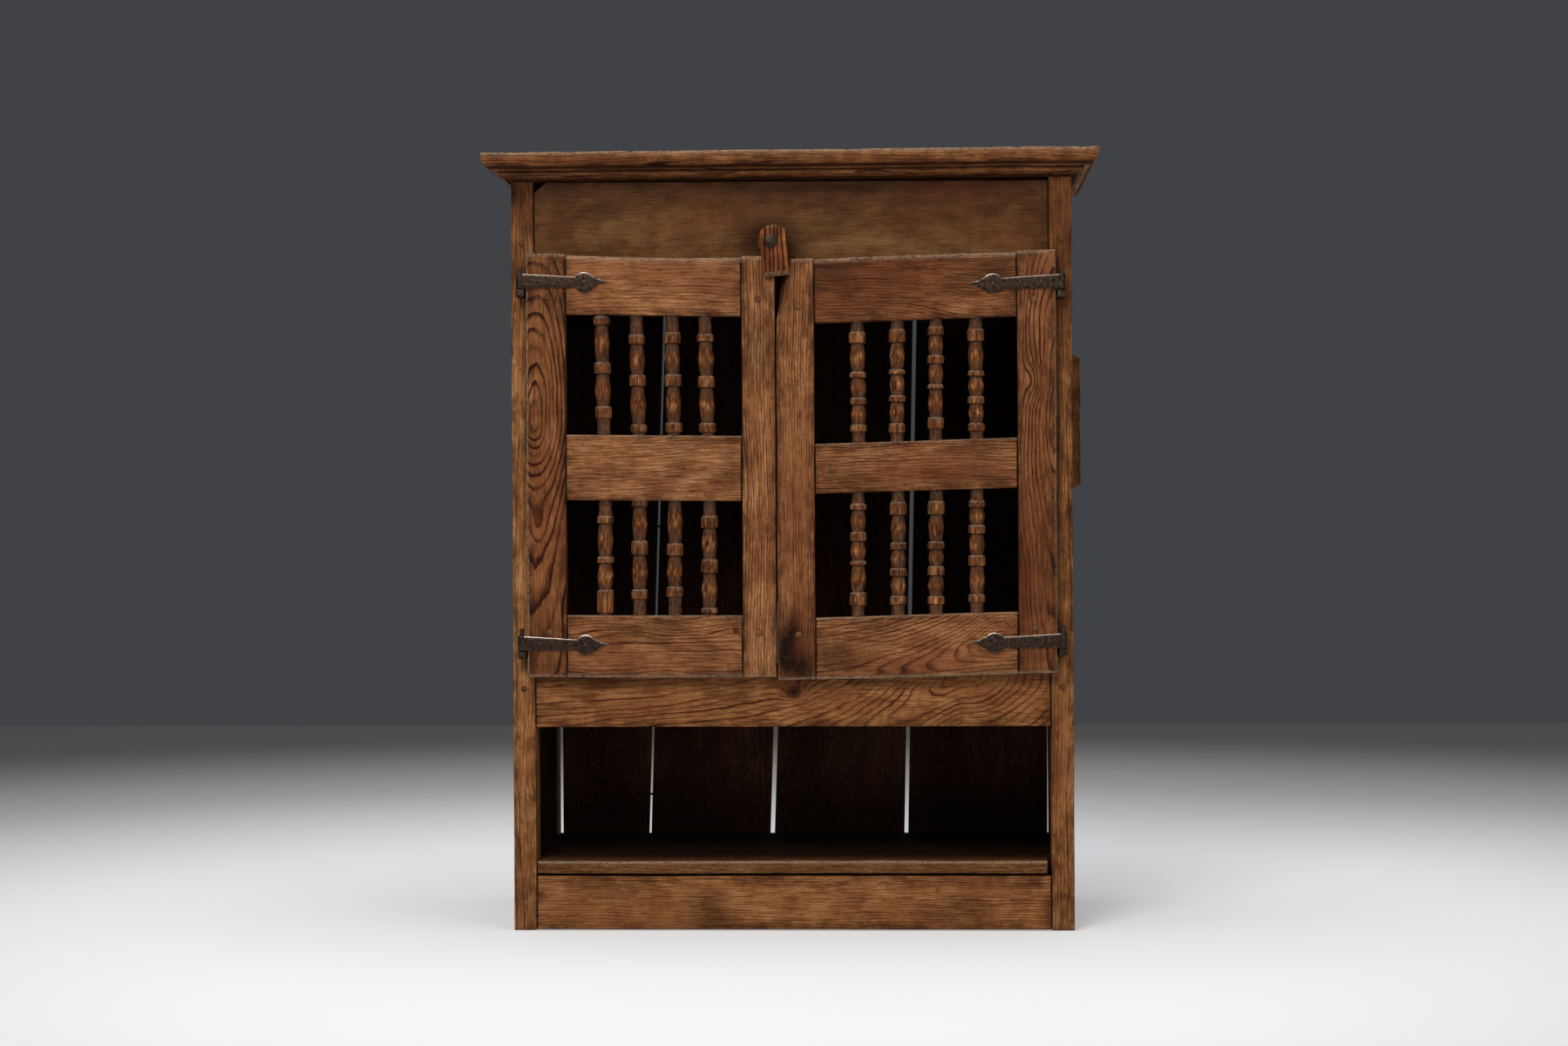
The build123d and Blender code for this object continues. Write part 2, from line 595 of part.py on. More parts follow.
def back_edges(z):
    """Left and right edge of each back board at a height."""
    lefts = [-SIDE_INNER + BACK_GAP_SIDE_LEFT]
    rights = []
    for index, gap in enumerate(BACK_GAPS):
        middle = joint_at(index, z)
        rights.append(middle - gap / 2)
        lefts.append(middle + gap / 2)
    rights.append(SIDE_INNER - BACK_GAP_SIDE_RIGHT)
    return list(zip(lefts, rights))


def back_nail_rows():
    """Heights where the back boards are nailed to what crosses in front of them."""
    low, high = rear_rail_spans()
    return ((low[0] + low[1]) / 2, MIDDLE_RAIL_BOTTOM + SHELF_THICKNESS / 2,
            UPPER_SHELF_BOTTOM + UPPER_SHELF_THICKNESS / 2, (high[0] + high[1]) / 2)


def back_nail_places():
    """(x, z) of two nails per board and row."""
    places = []
    for z in back_nail_rows():
        for left, right in back_edges(z):
            places += [(left + NAIL_EDGE, z), (right - NAIL_EDGE, z)]
    return places


def back_nail(x, z, gap=0.0):
    """Nail from behind, its head let in flush."""
    head = rod(NAIL_HEAD_RADIUS + gap, x, z, BACK - NAIL_HEAD_HEIGHT - gap, BACK)
    return head + rod(NAIL_RADIUS + gap, x, z, BACK - BACK_NAIL_LENGTH - gap, BACK - NAIL_HEAD_HEIGHT)


def edge_pins(gap=0.0):
    """Iron pins across the first gap, from board to board."""
    pins = []
    for z in EDGE_PIN_HEIGHTS:
        length = BACK_GAPS[0] + 2 * (EDGE_PIN_GRIP + gap)
        pin = Pos(joint_at(0, z), (BACK_FACE + BACK) / 2, z) * Rot(0, 90, 0)
        pins.append(pin * Cylinder(EDGE_PIN_RADIUS + gap, length))
    return pins


def back_boards():
    boards = {}
    nail_holes = [back_nail(x, z, PEG_GAP) for x, z in back_nail_places()]
    bottoms, tops = back_edges(BACK_BOTTOM), back_edges(TOP_BOARD_BOTTOM)
    for index, ((left0, right0), (left1, right1)) in enumerate(zip(bottoms, tops)):
        board = slab([(left0, BACK_BOTTOM), (right0, BACK_BOTTOM), (right1, TOP_BOARD_BOTTOM),
                      (left1, TOP_BOARD_BOTTOM)], BACK_FACE, BACK)
        boards[f"back_board_{index + 1}"] = board - nail_holes - edge_pins(PEG_GAP)
    return boards


# --- Cornice and top -----------------------------------------------------------------------------
def cornice_section():
    """Profile in (inward, down) from the top outer edge: rounded fascia, quirk, bead, rebate."""
    inner = CORNICE_OVERHANG + SIDE_THICKNESS
    ledge = inner - TOP_BOARD_LEDGE
    lip = CORNICE_FASCIA_SLOPE + CORNICE_LIP
    quirk_top = CORNICE_FASCIA_DROP + CORNICE_LIP_DROP
    quirk_bottom = quirk_top + CORNICE_QUIRK_HEIGHT
    groove = lip + CORNICE_QUIRK_DEPTH
    bead = groove - CORNICE_BEAD_RETURN
    fascia_foot = (CORNICE_FASCIA_SLOPE, CORNICE_FASCIA_DROP)
    bead_foot = (CORNICE_OVERHANG, CORNICE_HEIGHT)
    edges = [Line((0, 0), (0, CORNICE_EDGE)),
             bowed((0, CORNICE_EDGE), fascia_foot, CORNICE_FASCIA_BULGE),
             Polyline(fascia_foot, (lip, quirk_top), (groove, quirk_top), (groove, quirk_bottom),
                      (bead, quirk_bottom)),
             bowed((bead, quirk_bottom), bead_foot, CORNICE_BEAD_BULGE),
             Polyline(bead_foot, (inner, CORNICE_HEIGHT), (inner, TOP_BOARD_THICKNESS),
                      (ledge, TOP_BOARD_THICKNESS), (ledge, 0), (0, 0))]
    return make_face([edge for line in edges for edge in line.edges()])


def cornices():
    """Three mouldings that meet in mitres above the front corners."""
    outer_x = HALF_WIDTH + CORNICE_OVERHANG
    outer_y = FRONT - CORNICE_OVERHANG
    inner_x = SIDE_INNER
    inner_y = FRONT + SIDE_THICKNESS
    section = cornice_section()
    along_front = Plane(origin=(-outer_x, outer_y, TOTAL_HEIGHT), x_dir=(0, 1, 0), z_dir=(-1, 0, 0))
    front = extrude(along_front * section, amount=2 * outer_x, dir=(1, 0, 0))
    along_side = Plane(origin=(outer_x, outer_y, TOTAL_HEIGHT), x_dir=(-1, 0, 0), z_dir=(0, -1, 0))
    right = extrude(along_side * section, amount=BACK - outer_y, dir=(0, 1, 0))

    def prism(corners):
        outline = make_face(Polyline(*[(x, y, POST_TOP) for x, y in corners], close=True))
        return extrude(outline, amount=CORNICE_HEIGHT, dir=(0, 0, 1))

    front &= prism([(-outer_x, outer_y), (outer_x, outer_y), (inner_x, inner_y), (-inner_x, inner_y)])
    right &= prism([(outer_x, outer_y), (outer_x, BACK), (inner_x, BACK), (inner_x, inner_y)])
    return front, mirrored(right), right


def top_board_span():
    """(x reach, front y) of the top boards in the cornice's rebate."""
    return SIDE_INNER + TOP_BOARD_LEDGE - JOINT_GAP, FRONT + SIDE_THICKNESS - TOP_BOARD_LEDGE + JOINT_GAP


def top_board_lines():
    """(front, rear) of each top board."""
    _, front = top_board_span()
    depth = (BACK - front) / TOP_BOARD_COUNT
    fronts = [front + index * depth for index in range(TOP_BOARD_COUNT)]
    return [(edge, edge + depth - JOINT_GAP) for edge in fronts]


def top_nail_places():
    reach, _ = top_board_span()
    x = reach - TOP_BOARD_LEDGE / 2
    return [(side * x, (y0 + y1) / 2 + offset) for y0, y1 in top_board_lines() for side in (-1, 1)
            for offset in (-NAIL_EDGE, NAIL_EDGE)]


def top_nail(x, y, gap=0.0):
    """Nail down through a top board into the side cornice."""
    head_at = TOTAL_HEIGHT - NAIL_HEAD_HEIGHT / 2 - gap / 2
    head = Pos(x, y, head_at) * Cylinder(NAIL_HEAD_RADIUS + gap, NAIL_HEAD_HEIGHT + gap)
    stem = TOP_NAIL_LENGTH - NAIL_HEAD_HEIGHT + gap
    return head + Pos(x, y, TOTAL_HEIGHT - NAIL_HEAD_HEIGHT - stem / 2) * Cylinder(NAIL_RADIUS + gap, stem)


def top_boards():
    reach, _ = top_board_span()
    return [block(-reach, reach, y0, y1, TOP_BOARD_BOTTOM, TOTAL_HEIGHT) for y0, y1 in top_board_lines()]


# --- Grip ----------------------------------------------------------------------------------------
def grip_nail_heights():
    return (GRIP_BOTTOM + GRIP_NAIL_INSET, GRIP_BOTTOM + GRIP_HEIGHT - GRIP_NAIL_INSET)


def grip_nail(z, gap=0.0):
    length = GRIP_PROUD + NAIL_GRIP
    nail = Pos(HALF_WIDTH + GRIP_PROUD - length / 2, FRONT + GRIP_SETBACK, z) * Rot(0, 90, 0)
    return nail * Cylinder(NAIL_RADIUS + gap, length + gap)


def side_grip():
    """Upright batten on the outside of the right side, with bevelled ends."""
    inner, outer = HALF_WIDTH, HALF_WIDTH + GRIP_PROUD
    low, high = GRIP_BOTTOM, GRIP_BOTTOM + GRIP_HEIGHT
    middle = FRONT + GRIP_SETBACK
    grip = slab([(inner, low), (outer, low + GRIP_BEVEL), (outer, high - GRIP_BEVEL), (inner, high)],
                middle - GRIP_WIDTH / 2, middle + GRIP_WIDTH / 2)
    return grip - [grip_nail(z, PEG_GAP) for z in grip_nail_heights()]


# --- Turn button ---------------------------------------------------------------------------------
def turn_button():
    """Tapered tongue in front of the doors and a round boss that reaches back to the rail."""
    top, bottom = BUTTON_WIDTH_TOP / 2, BUTTON_WIDTH_BOTTOM / 2
    middle = BUTTON_SIDE_OFFSET
    outline = make_face(Polyline((middle - top, BUTTON_ABOVE), (middle - bottom, -BUTTON_BELOW),
                                 (middle + bottom, -BUTTON_BELOW), (middle + top, BUTTON_ABOVE), close=True))
    outline = fillet(outline.vertices().sort_by(Axis.Y)[-2:], BUTTON_CORNER_RADIUS)
    facing = Plane(origin=(LATCH_X, BUTTON_REAR, LATCH_Z), x_dir=(1, 0, 0), z_dir=(0, -1, 0))
    tongue = extrude(facing * Rot(0, 0, BUTTON_LEAN) * outline, amount=BUTTON_THICKNESS, dir=(0, -1, 0))
    boss = rod(BOSS_RADIUS, LATCH_X, LATCH_Z, BUTTON_REAR, FRONT - HINGE_PLAY)
    bore = rod(LATCH_PIN_RADIUS + RUNNING_GAP, LATCH_X, LATCH_Z, BUTTON_FRONT, FRONT)
    return tongue + boss - bore


def latch_nail():
    head_rear = BUTTON_FRONT - HINGE_PLAY
    head = rod(LATCH_HEAD_RADIUS, LATCH_X, LATCH_Z, head_rear - LATCH_HEAD_HEIGHT, head_rear)
    return head + rod(LATCH_PIN_RADIUS, LATCH_X, LATCH_Z, head_rear, FRONT + LATCH_PIN_GRIP)


# --- Doors ---------------------------------------------------------------------------------------
def door_tenons(door):
    """Corner values of the six tenons: each rail's into the hinge stile, then into the meeting stile."""
    tenons = []
    levels = door.levels
    y0, y1 = DOOR_MIDDLE - DOOR_TENON_THICKNESS / 2, DOOR_MIDDLE + DOOR_TENON_THICKNESS / 2
    for low, high in (levels[0:2], levels[2:4], levels[4:6]):
        for shoulder, way in ((door.hinge_inner, door.side), (door.meeting_inner, -door.side)):
            z0, z1 = door.at(low, shoulder) + DOOR_SHOULDER, door.at(high, shoulder) - DOOR_SHOULDER
            tenons.append((shoulder, shoulder + way * DOOR_TENON_LENGTH, y0, y1, z0, z1))
    return tenons


def door_peg_places(door):
    """(x, z) of the pegs: one in each joint of the bottom and the top rail."""
    levels = door.levels
    places = []
    for edge, rise in ((levels[1], -DOOR_PEG_FROM_OPENING), (levels[4], DOOR_PEG_FROM_OPENING)):
        for shoulder, way in ((door.hinge_inner, door.side), (door.meeting_inner, -door.side)):
            places.append((shoulder + way * DOOR_PEG_FROM_SHOULDER, door.at(edge, shoulder) + rise))
    return places


def spindle_places(door):
    """(number, x, low level, high level) of the spindles of both openings."""
    levels = door.levels
    middle = (door.hinge_inner + door.meeting_inner) / 2
    places = []
    for word, low, high in (("upper", levels[3], levels[4]), ("lower", levels[1], levels[2])):
        for index in range(SPINDLE_COUNT):
            x = middle + (index - (SPINDLE_COUNT - 1) / 2) * door.pitch
            places.append((f"{word}_{index + 1}", x, low, high))
    return places


def spindle_ends(door, x, low, high):
    """Where a spindle's square shoulders meet the sloping rails."""
    reach = SPINDLE_RING_RADIUS
    bottom = max(door.at(low, x - reach), door.at(low, x + reach))
    top = min(door.at(high, x - reach), door.at(high, x + reach))
    return bottom, top


def spindle(door, x, low, high):
    """Turned spindle: rings with swelling bellies between them, and a round tenon at each end."""
    bottom, top = spindle_ends(door, x, low, high)
    neck, ring, stub = SPINDLE_NECK_RADIUS, SPINDLE_RING_RADIUS, SPINDLE_TENON_RADIUS
    foot, head = bottom - SPINDLE_TENON_LENGTH, top + SPINDLE_TENON_LENGTH
    pitch = (top - bottom) / door.rings
    edges = []
    level = None
    for index in range(door.rings):
        under = bottom + (index + 0.5) * pitch - SPINDLE_RING_HEIGHT / 2
        over = under + SPINDLE_RING_HEIGHT
        if index:
            edges.append(bowed((neck, level), (neck, under), SPINDLE_NECK_RADIUS - SPINDLE_BELLY_RADIUS))
        else:
            edges.append(Polyline((0, foot), (stub, foot), (stub, bottom), (neck, bottom), (neck, under)))
        edges.append(Polyline((neck, under), (ring, under), (ring, over), (neck, over)))
        level = over
    edges.append(Polyline((neck, level), (neck, top), (stub, top), (stub, head), (0, head), (0, foot)))
    profile = Plane.XZ * make_face([edge for line in edges for edge in line.edges()])
    return Pos(x, DOOR_MIDDLE, 0) * revolve(profile, axis=Axis.Z)


def spindle_socket(door, x, low, high):
    """The round hole for a spindle's two tenons, as one long cylinder."""
    bottom, top = spindle_ends(door, x, low, high)
    low_end = bottom - SPINDLE_TENON_LENGTH - JOINT_GAP
    high_end = top + SPINDLE_TENON_LENGTH + JOINT_GAP
    hole = Cylinder(SPINDLE_TENON_RADIUS + JOINT_GAP, high_end - low_end)
    return Pos(x, DOOR_MIDDLE, (low_end + high_end) / 2) * hole


def finger_notch(door):
    """Curved cutter for the meeting stile's top outer corner."""
    edge = door.meeting_edge
    top = door.at(door.levels[-1], edge) + STILE_HORN
    above = top + STILE_HORN
    beyond = edge - door.side * NOTCH_WIDTH
    foot = (edge, top - NOTCH_HEIGHT)
    head = (edge + door.side * NOTCH_WIDTH, top)
    rest = Polyline(head, (head[0], above), (beyond, above), (beyond, foot[1]), foot)
    outline = make_face([bowed(foot, head, NOTCH_BULGE)] + rest.edges())
    return upright(outline, DOOR_FRONT, DOOR_REAR)


def door_nodes(door, word, notched):
    """Every piece of one door, by node name."""
    levels = door.levels
    tenons = door_tenons(door)
    pegs = door_peg_places(door)
    nails = [spot for middle in door.hinge_heights for spot in strap_nail_places(door, middle)]
    holes = [rod(PEG_RADIUS + PEG_GAP, x, z, DOOR_FRONT - PEG_PROUD, DOOR_REAR) for x, z in pegs]
    holes += [rod(NAIL_RADIUS + PEG_GAP, x, z, DOOR_FRONT, DOOR_FRONT + NAIL_GRIP + PEG_GAP)
              for x, z in nails]
    sockets = [spindle_socket(door, x, low, high) for _, x, low, high in spindle_places(door)]
    made = {}
    for name, edge0, edge1 in (("hinge_stile", door.hinge_edge, door.hinge_inner),
                               ("meeting_stile", door.meeting_edge, door.meeting_inner)):
        stile = slab([(edge0, door.at(levels[0], edge0)), (edge1, door.at(levels[0], edge1)),
                      (edge1, door.at(levels[-1], edge1) + STILE_HORN),
                      (edge0, door.at(levels[-1], edge0) + STILE_HORN)], DOOR_FRONT, DOOR_REAR)
        made[name] = stile - [swell(tenon) for tenon in tenons] - holes
    if notched:
        made["meeting_stile"] -= finger_notch(door)
    spans = (("bottom_rail", levels[0:2]), ("middle_rail", levels[2:4]), ("top_rail", levels[4:6]))
    for index, (name, (low, high)) in enumerate(spans):
        ends = (door.hinge_inner, door.meeting_inner)
        rail = slab([(x, door.at(low, x)) for x in ends] + [(x, door.at(high, x)) for x in ends[::-1]],
                    DOOR_FRONT, DOOR_REAR)
        for tenon in tenons[2 * index:2 * index + 2]:
            rail += block(*tenon)
        made[name] = rail - holes - sockets
    for number, x, low, high in spindle_places(door):
        made[f"spindle_{number}"] = spindle(door, x, low, high)
    made["pegs"] = [rod(PEG_RADIUS, x, z, DOOR_FRONT - PEG_PROUD, DOOR_REAR) for x, z in pegs]
    made["straps"] = [strap(door, middle) for middle in door.hinge_heights]
    made["strap_nails"] = [strap_nail(x, z) for x, z in nails]
    return {f"door_{word}_{name}": shape for name, shape in made.items()}


# --- Assembly ------------------------------------------------------------------------------------
def carcass_nodes():
    rails, tenons = front_rails()
    back_rails, back_tenons = rear_rails()
    made = dict(rails)
    made.update(posts(tenons, back_tenons))
    nail_holes = [back_nail(x, z, PEG_GAP) for x, z in back_nail_places()]
    made["rear_rails"] = [rail - nail_holes for rail in back_rails]
    made["side_boards_left"] = side_boards(-1)
    made["side_boards_right"] = side_boards(1)
    made.update(back_boards())
    made["floor_board"] = floor_board()
    made["middle_shelf"] = middle_shelf() - nail_holes
    made["upper_shelf"] = upper_shelf() - nail_holes
    made["shelf_bearers"] = shelf_bearers()
    front, left, right = cornices()
    top_holes = [top_nail(x, y, PEG_GAP) for x, y in top_nail_places()]
    made["cornice_front"] = front
    made["cornice_left"] = left - top_holes
    made["cornice_right"] = right - top_holes
    made["top_boards"] = [board - top_holes for board in top_boards()]
    made["frame_pegs"] = [rod(PEG_RADIUS, x, z, FRONT - PEG_PROUD, FRONT + FRAME_PEG_LENGTH)
                          for x, z in frame_peg_places()]
    made["side_grip"] = side_grip()
    made["hinge_pintles"] = [pintle(door, middle) for door in (LEFT_DOOR, RIGHT_DOOR)
                             for middle in door.hinge_heights]
    made["latch_nail"] = latch_nail()
    made["carcass_nails"] = ([back_nail(x, z) for x, z in back_nail_places()] + edge_pins()
                             + [top_nail(x, y) for x, y in top_nail_places()]
                             + [grip_nail(z) for z in grip_nail_heights()])
    return made


nodes = carcass_nodes()
nodes["turn_button"] = turn_button()
nodes.update(door_nodes(LEFT_DOOR, "left", notched=False))
nodes.update(door_nodes(RIGHT_DOOR, "right", notched=True))
for node_name, node_shape in nodes.items():
    save(node_name, node_shape)
print(len(nodes), "nodes")
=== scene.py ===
"""Trastero cupboard: worn pine, carved spindles and forged iron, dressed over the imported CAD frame.

Lengths in the tables are millimetres in the frame's own axes: X to the right, Y to the back, Z up.
"""
import math
from dataclasses import dataclass
from functools import partial

import bmesh
import bpy
from mathutils import Matrix, Vector, noise


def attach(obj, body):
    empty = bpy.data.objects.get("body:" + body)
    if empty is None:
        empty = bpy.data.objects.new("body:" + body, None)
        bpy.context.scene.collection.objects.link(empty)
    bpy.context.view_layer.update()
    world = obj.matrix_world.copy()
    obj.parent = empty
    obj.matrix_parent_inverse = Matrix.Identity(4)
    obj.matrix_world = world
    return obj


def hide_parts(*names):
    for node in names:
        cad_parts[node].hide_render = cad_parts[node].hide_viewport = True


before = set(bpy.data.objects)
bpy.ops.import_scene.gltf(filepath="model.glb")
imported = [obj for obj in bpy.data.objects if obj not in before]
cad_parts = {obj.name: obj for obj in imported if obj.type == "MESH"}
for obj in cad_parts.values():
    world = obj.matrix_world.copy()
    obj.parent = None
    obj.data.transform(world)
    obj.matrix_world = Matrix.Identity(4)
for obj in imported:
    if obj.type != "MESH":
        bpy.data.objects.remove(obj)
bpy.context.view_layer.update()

bl_info = {
    "name": "Trastero cupboard",
    "version": (1, 0, 0),
    "blender": (4, 5, 0),
    "location": "3D View > Sidebar > Trastero",
    "description": "Builds the worn pieces of a rustic spindled cupboard over its CAD frame",
    "category": "Object",
}

MM = 0.001
X, Y, Z = 0, 1, 2

# --- Planes and places shared by the pieces (mm) ---------------------------------------------------
HALF_WIDTH, POST_INNER, SIDE_INNER = 452.5, 416.5, 430.5
FRONT, FRONT_POST_REAR, RAIL_REAR = -203.75, -145.75, -177.75
SIDE_SEAM, REAR_POST_FRONT, BACK_FACE, BACK = 21.25, 188.25, 228.25, 246.25
POST_TOP, TOTAL_HEIGHT, TOP_BOARD_BOTTOM = 1213.0, 1255.0, 1237.0
DOOR_FRONT, DOOR_REAR, DOOR_MIDDLE = -228.75, -204.75, -216.75
STRAP_FRONT, PIN_X, PIN_Y, EYE_RADIUS = -232.25, 435.0, -225.25, 7.0
LATCH_X, LATCH_Z, BUTTON_REAR, BUTTON_FRONT = -29.0, 1109.5, -229.75, -242.75
FOOT, RAIL_PLAY = 0.4, 0.3      # how far feet stand off the floor, and rails off the posts
SIDES = ((-1, "left"), (1, "right"))

# How a board lies: its two outline axes, the axis of its thickness and that of its grain.
FRONT_UPRIGHT, FRONT_LEVEL = ((X, Z), Y, Z), ((X, Z), Y, X)
SIDE_UPRIGHT, SIDE_LEVEL = ((Y, Z), X, Z), ((Y, Z), X, Y)
LYING = ((X, Y), Z, X)


def linear(code):
    """An sRGB hex value as linear RGBA."""
    channels = [int(code[i:i + 2], 16) / 255 for i in (0, 2, 4)]
    return tuple(c / 12.92 if c <= 0.04045 else ((c + 0.055) / 1.055) ** 2.4 for c in channels) + (1.0,)


def colour_property(name, description, code):
    return bpy.props.FloatVectorProperty(name=name, description=description, subtype="COLOR", size=4,
                                         min=0.0, max=1.0, default=linear(code))


def length_property(name, description, millimetres):
    return bpy.props.FloatProperty(name=name, description=description, unit="LENGTH", subtype="DISTANCE",
                                   min=0.0, default=millimetres * MM)


class TrasteroSizes(bpy.types.PropertyGroup):
    """Sizes that the worn surfaces are made with."""

    edge_round: length_property("Edge rounding", "Radius that use has worn on the boards' arrises", 1.3)
    edge_chip: length_property("Edge chips", "Depth of the dents along the arrises", 2.2)
    hollow: length_property("Plane marks", "Unevenness that hand planing left on the faces", 0.45)
    drift: length_property("Drift", "How far hand-cut edges wander from a straight line", 0.7)
    fine_step: length_property("Fine mesh step", "Mesh step on the faces that show", 4.5)
    coarse_step: length_property("Coarse mesh step", "Mesh step on inner and rear faces", 9.0)
    strap_bevel: length_property("Strap bevel", "Filed bevel round the strap hinges", 1.0)
    hammer: length_property("Hammer marks", "Depth of the hammer marks on the ironwork", 0.25)


class TrasteroColours(bpy.types.PropertyGroup):
    """Finish colours."""

    early: colour_property("Earlywood", "Soft wood between the rings", "A27044")
    late: colour_property("Latewood", "Hard dark wood of each ring", "401A08")
    red: colour_property("Red stain", "Old red-brown varnish left in patches", "74341A")
    olive: colour_property("Olive wood", "Wood dulled to a green brown", "48321A")
    # Grime is also the colour that painted shade darkens to.
    grime: colour_property("Grime", "Dirt rubbed into joints and hollows", "1A0B04")
    # This pale colour is dust, and also the painted highlight on upper arrises, the cornice's top edge and
    # the rings' tops.
    dust_and_sheen: colour_property("Dust", "Grey dusty wax on worn arrises", "A8957E")
    iron: colour_property("Iron", "Waxed forged iron", "4F4239")
    iron_dark: colour_property("Iron scale", "Black scale and old rust on the iron", "2E211A")
    # Worn iron also paints the highlight along the straps' upper edges.
    iron_worn_glint: colour_property("Worn iron", "Edges of the iron rubbed bright", "D6CEC6")
    floor: colour_property("Floor", "Plain pale studio floor", "D7DADD")


# --- Nodes -----------------------------------------------------------------------------------------
# Short names for nodes used often: (Blender's name, settings, inputs in the order given, output).
NODES = {name: ("ShaderNodeMath", {"operation": name}, (0, 1, 2), 0)
         for name in ("ADD", "SUBTRACT", "MULTIPLY", "MULTIPLY_ADD", "MAXIMUM", "POWER", "FRACT", "FLOOR")}
NODES["STEP"] = ("ShaderNodeMapRange", {"interpolation_type": "SMOOTHSTEP"}, (0, 1, 2, 3, 4), 0)
NODES["MIX"] = ("ShaderNodeMix", {"data_type": "RGBA", "clamp_factor": True}, (0, 6, 7), 2)


def add_node(tree, kind, *inputs, **settings):
    """A new node with its settings, and each input either linked to a socket or given a value.

    Inputs are given in order under a short name, which gives back a socket, or as a dict under
    Blender's own, which gives back the node.
    """
    name, preset, order, output = NODES.get(kind, (kind, {}, (), None))
    made = tree.nodes.new(name)
    for key, value in (preset | settings).items():
        setattr(made, key, value)
    pairs = zip(order, inputs) if order else (pair for given in inputs for pair in given.items())
    for key, value in pairs:
        if isinstance(value, bpy.types.NodeSocket):
            tree.links.new(value, made.inputs[key])
        else:
            made.inputs[key].default_value = value
    return made if output is None else made.outputs[output]


def texture(tree, vector, lengths, detail=2.0, roughness=0.5, shift=0.0):
    """Noise whose features are about as long as `lengths` (mm) along, across and into the grain."""
    scaled = add_node(tree, "ShaderNodeVectorMath", {0: vector, 1: [1 / size for size in lengths],
                                                     2: (shift, shift * 1.7, shift * 0.6)},
                      operation="MULTIPLY_ADD").outputs[0]
    return add_node(tree, "ShaderNodeTexNoise", {"Vector": scaled, "Scale": 1.0, "Detail": detail,
                                                 "Roughness": roughness}).outputs[0]


def new_material(name):
    material = bpy.data.materials.new(name)
    material.use_nodes = True
    tree = material.node_tree
    tree.nodes.clear()
    output = add_node(tree, "ShaderNodeOutputMaterial")
    shader = add_node(tree, "ShaderNodeBsdfPrincipled")
    tree.links.new(shader.outputs[0], output.inputs[0])
    return material, tree, shader


def warm_shade(tree, value):
    """A darkening in which old wax keeps its colour: red holds on longest, blue goes first."""
    red, blue = add_node(tree, "POWER", value, 0.74), add_node(tree, "POWER", value, 1.24)
    return add_node(tree, "ShaderNodeCombineColor", {0: red, 1: value, 2: blue}).outputs[0]


# --- Materials -------------------------------------------------------------------------------------
MATERIALS = {}              # by slot name


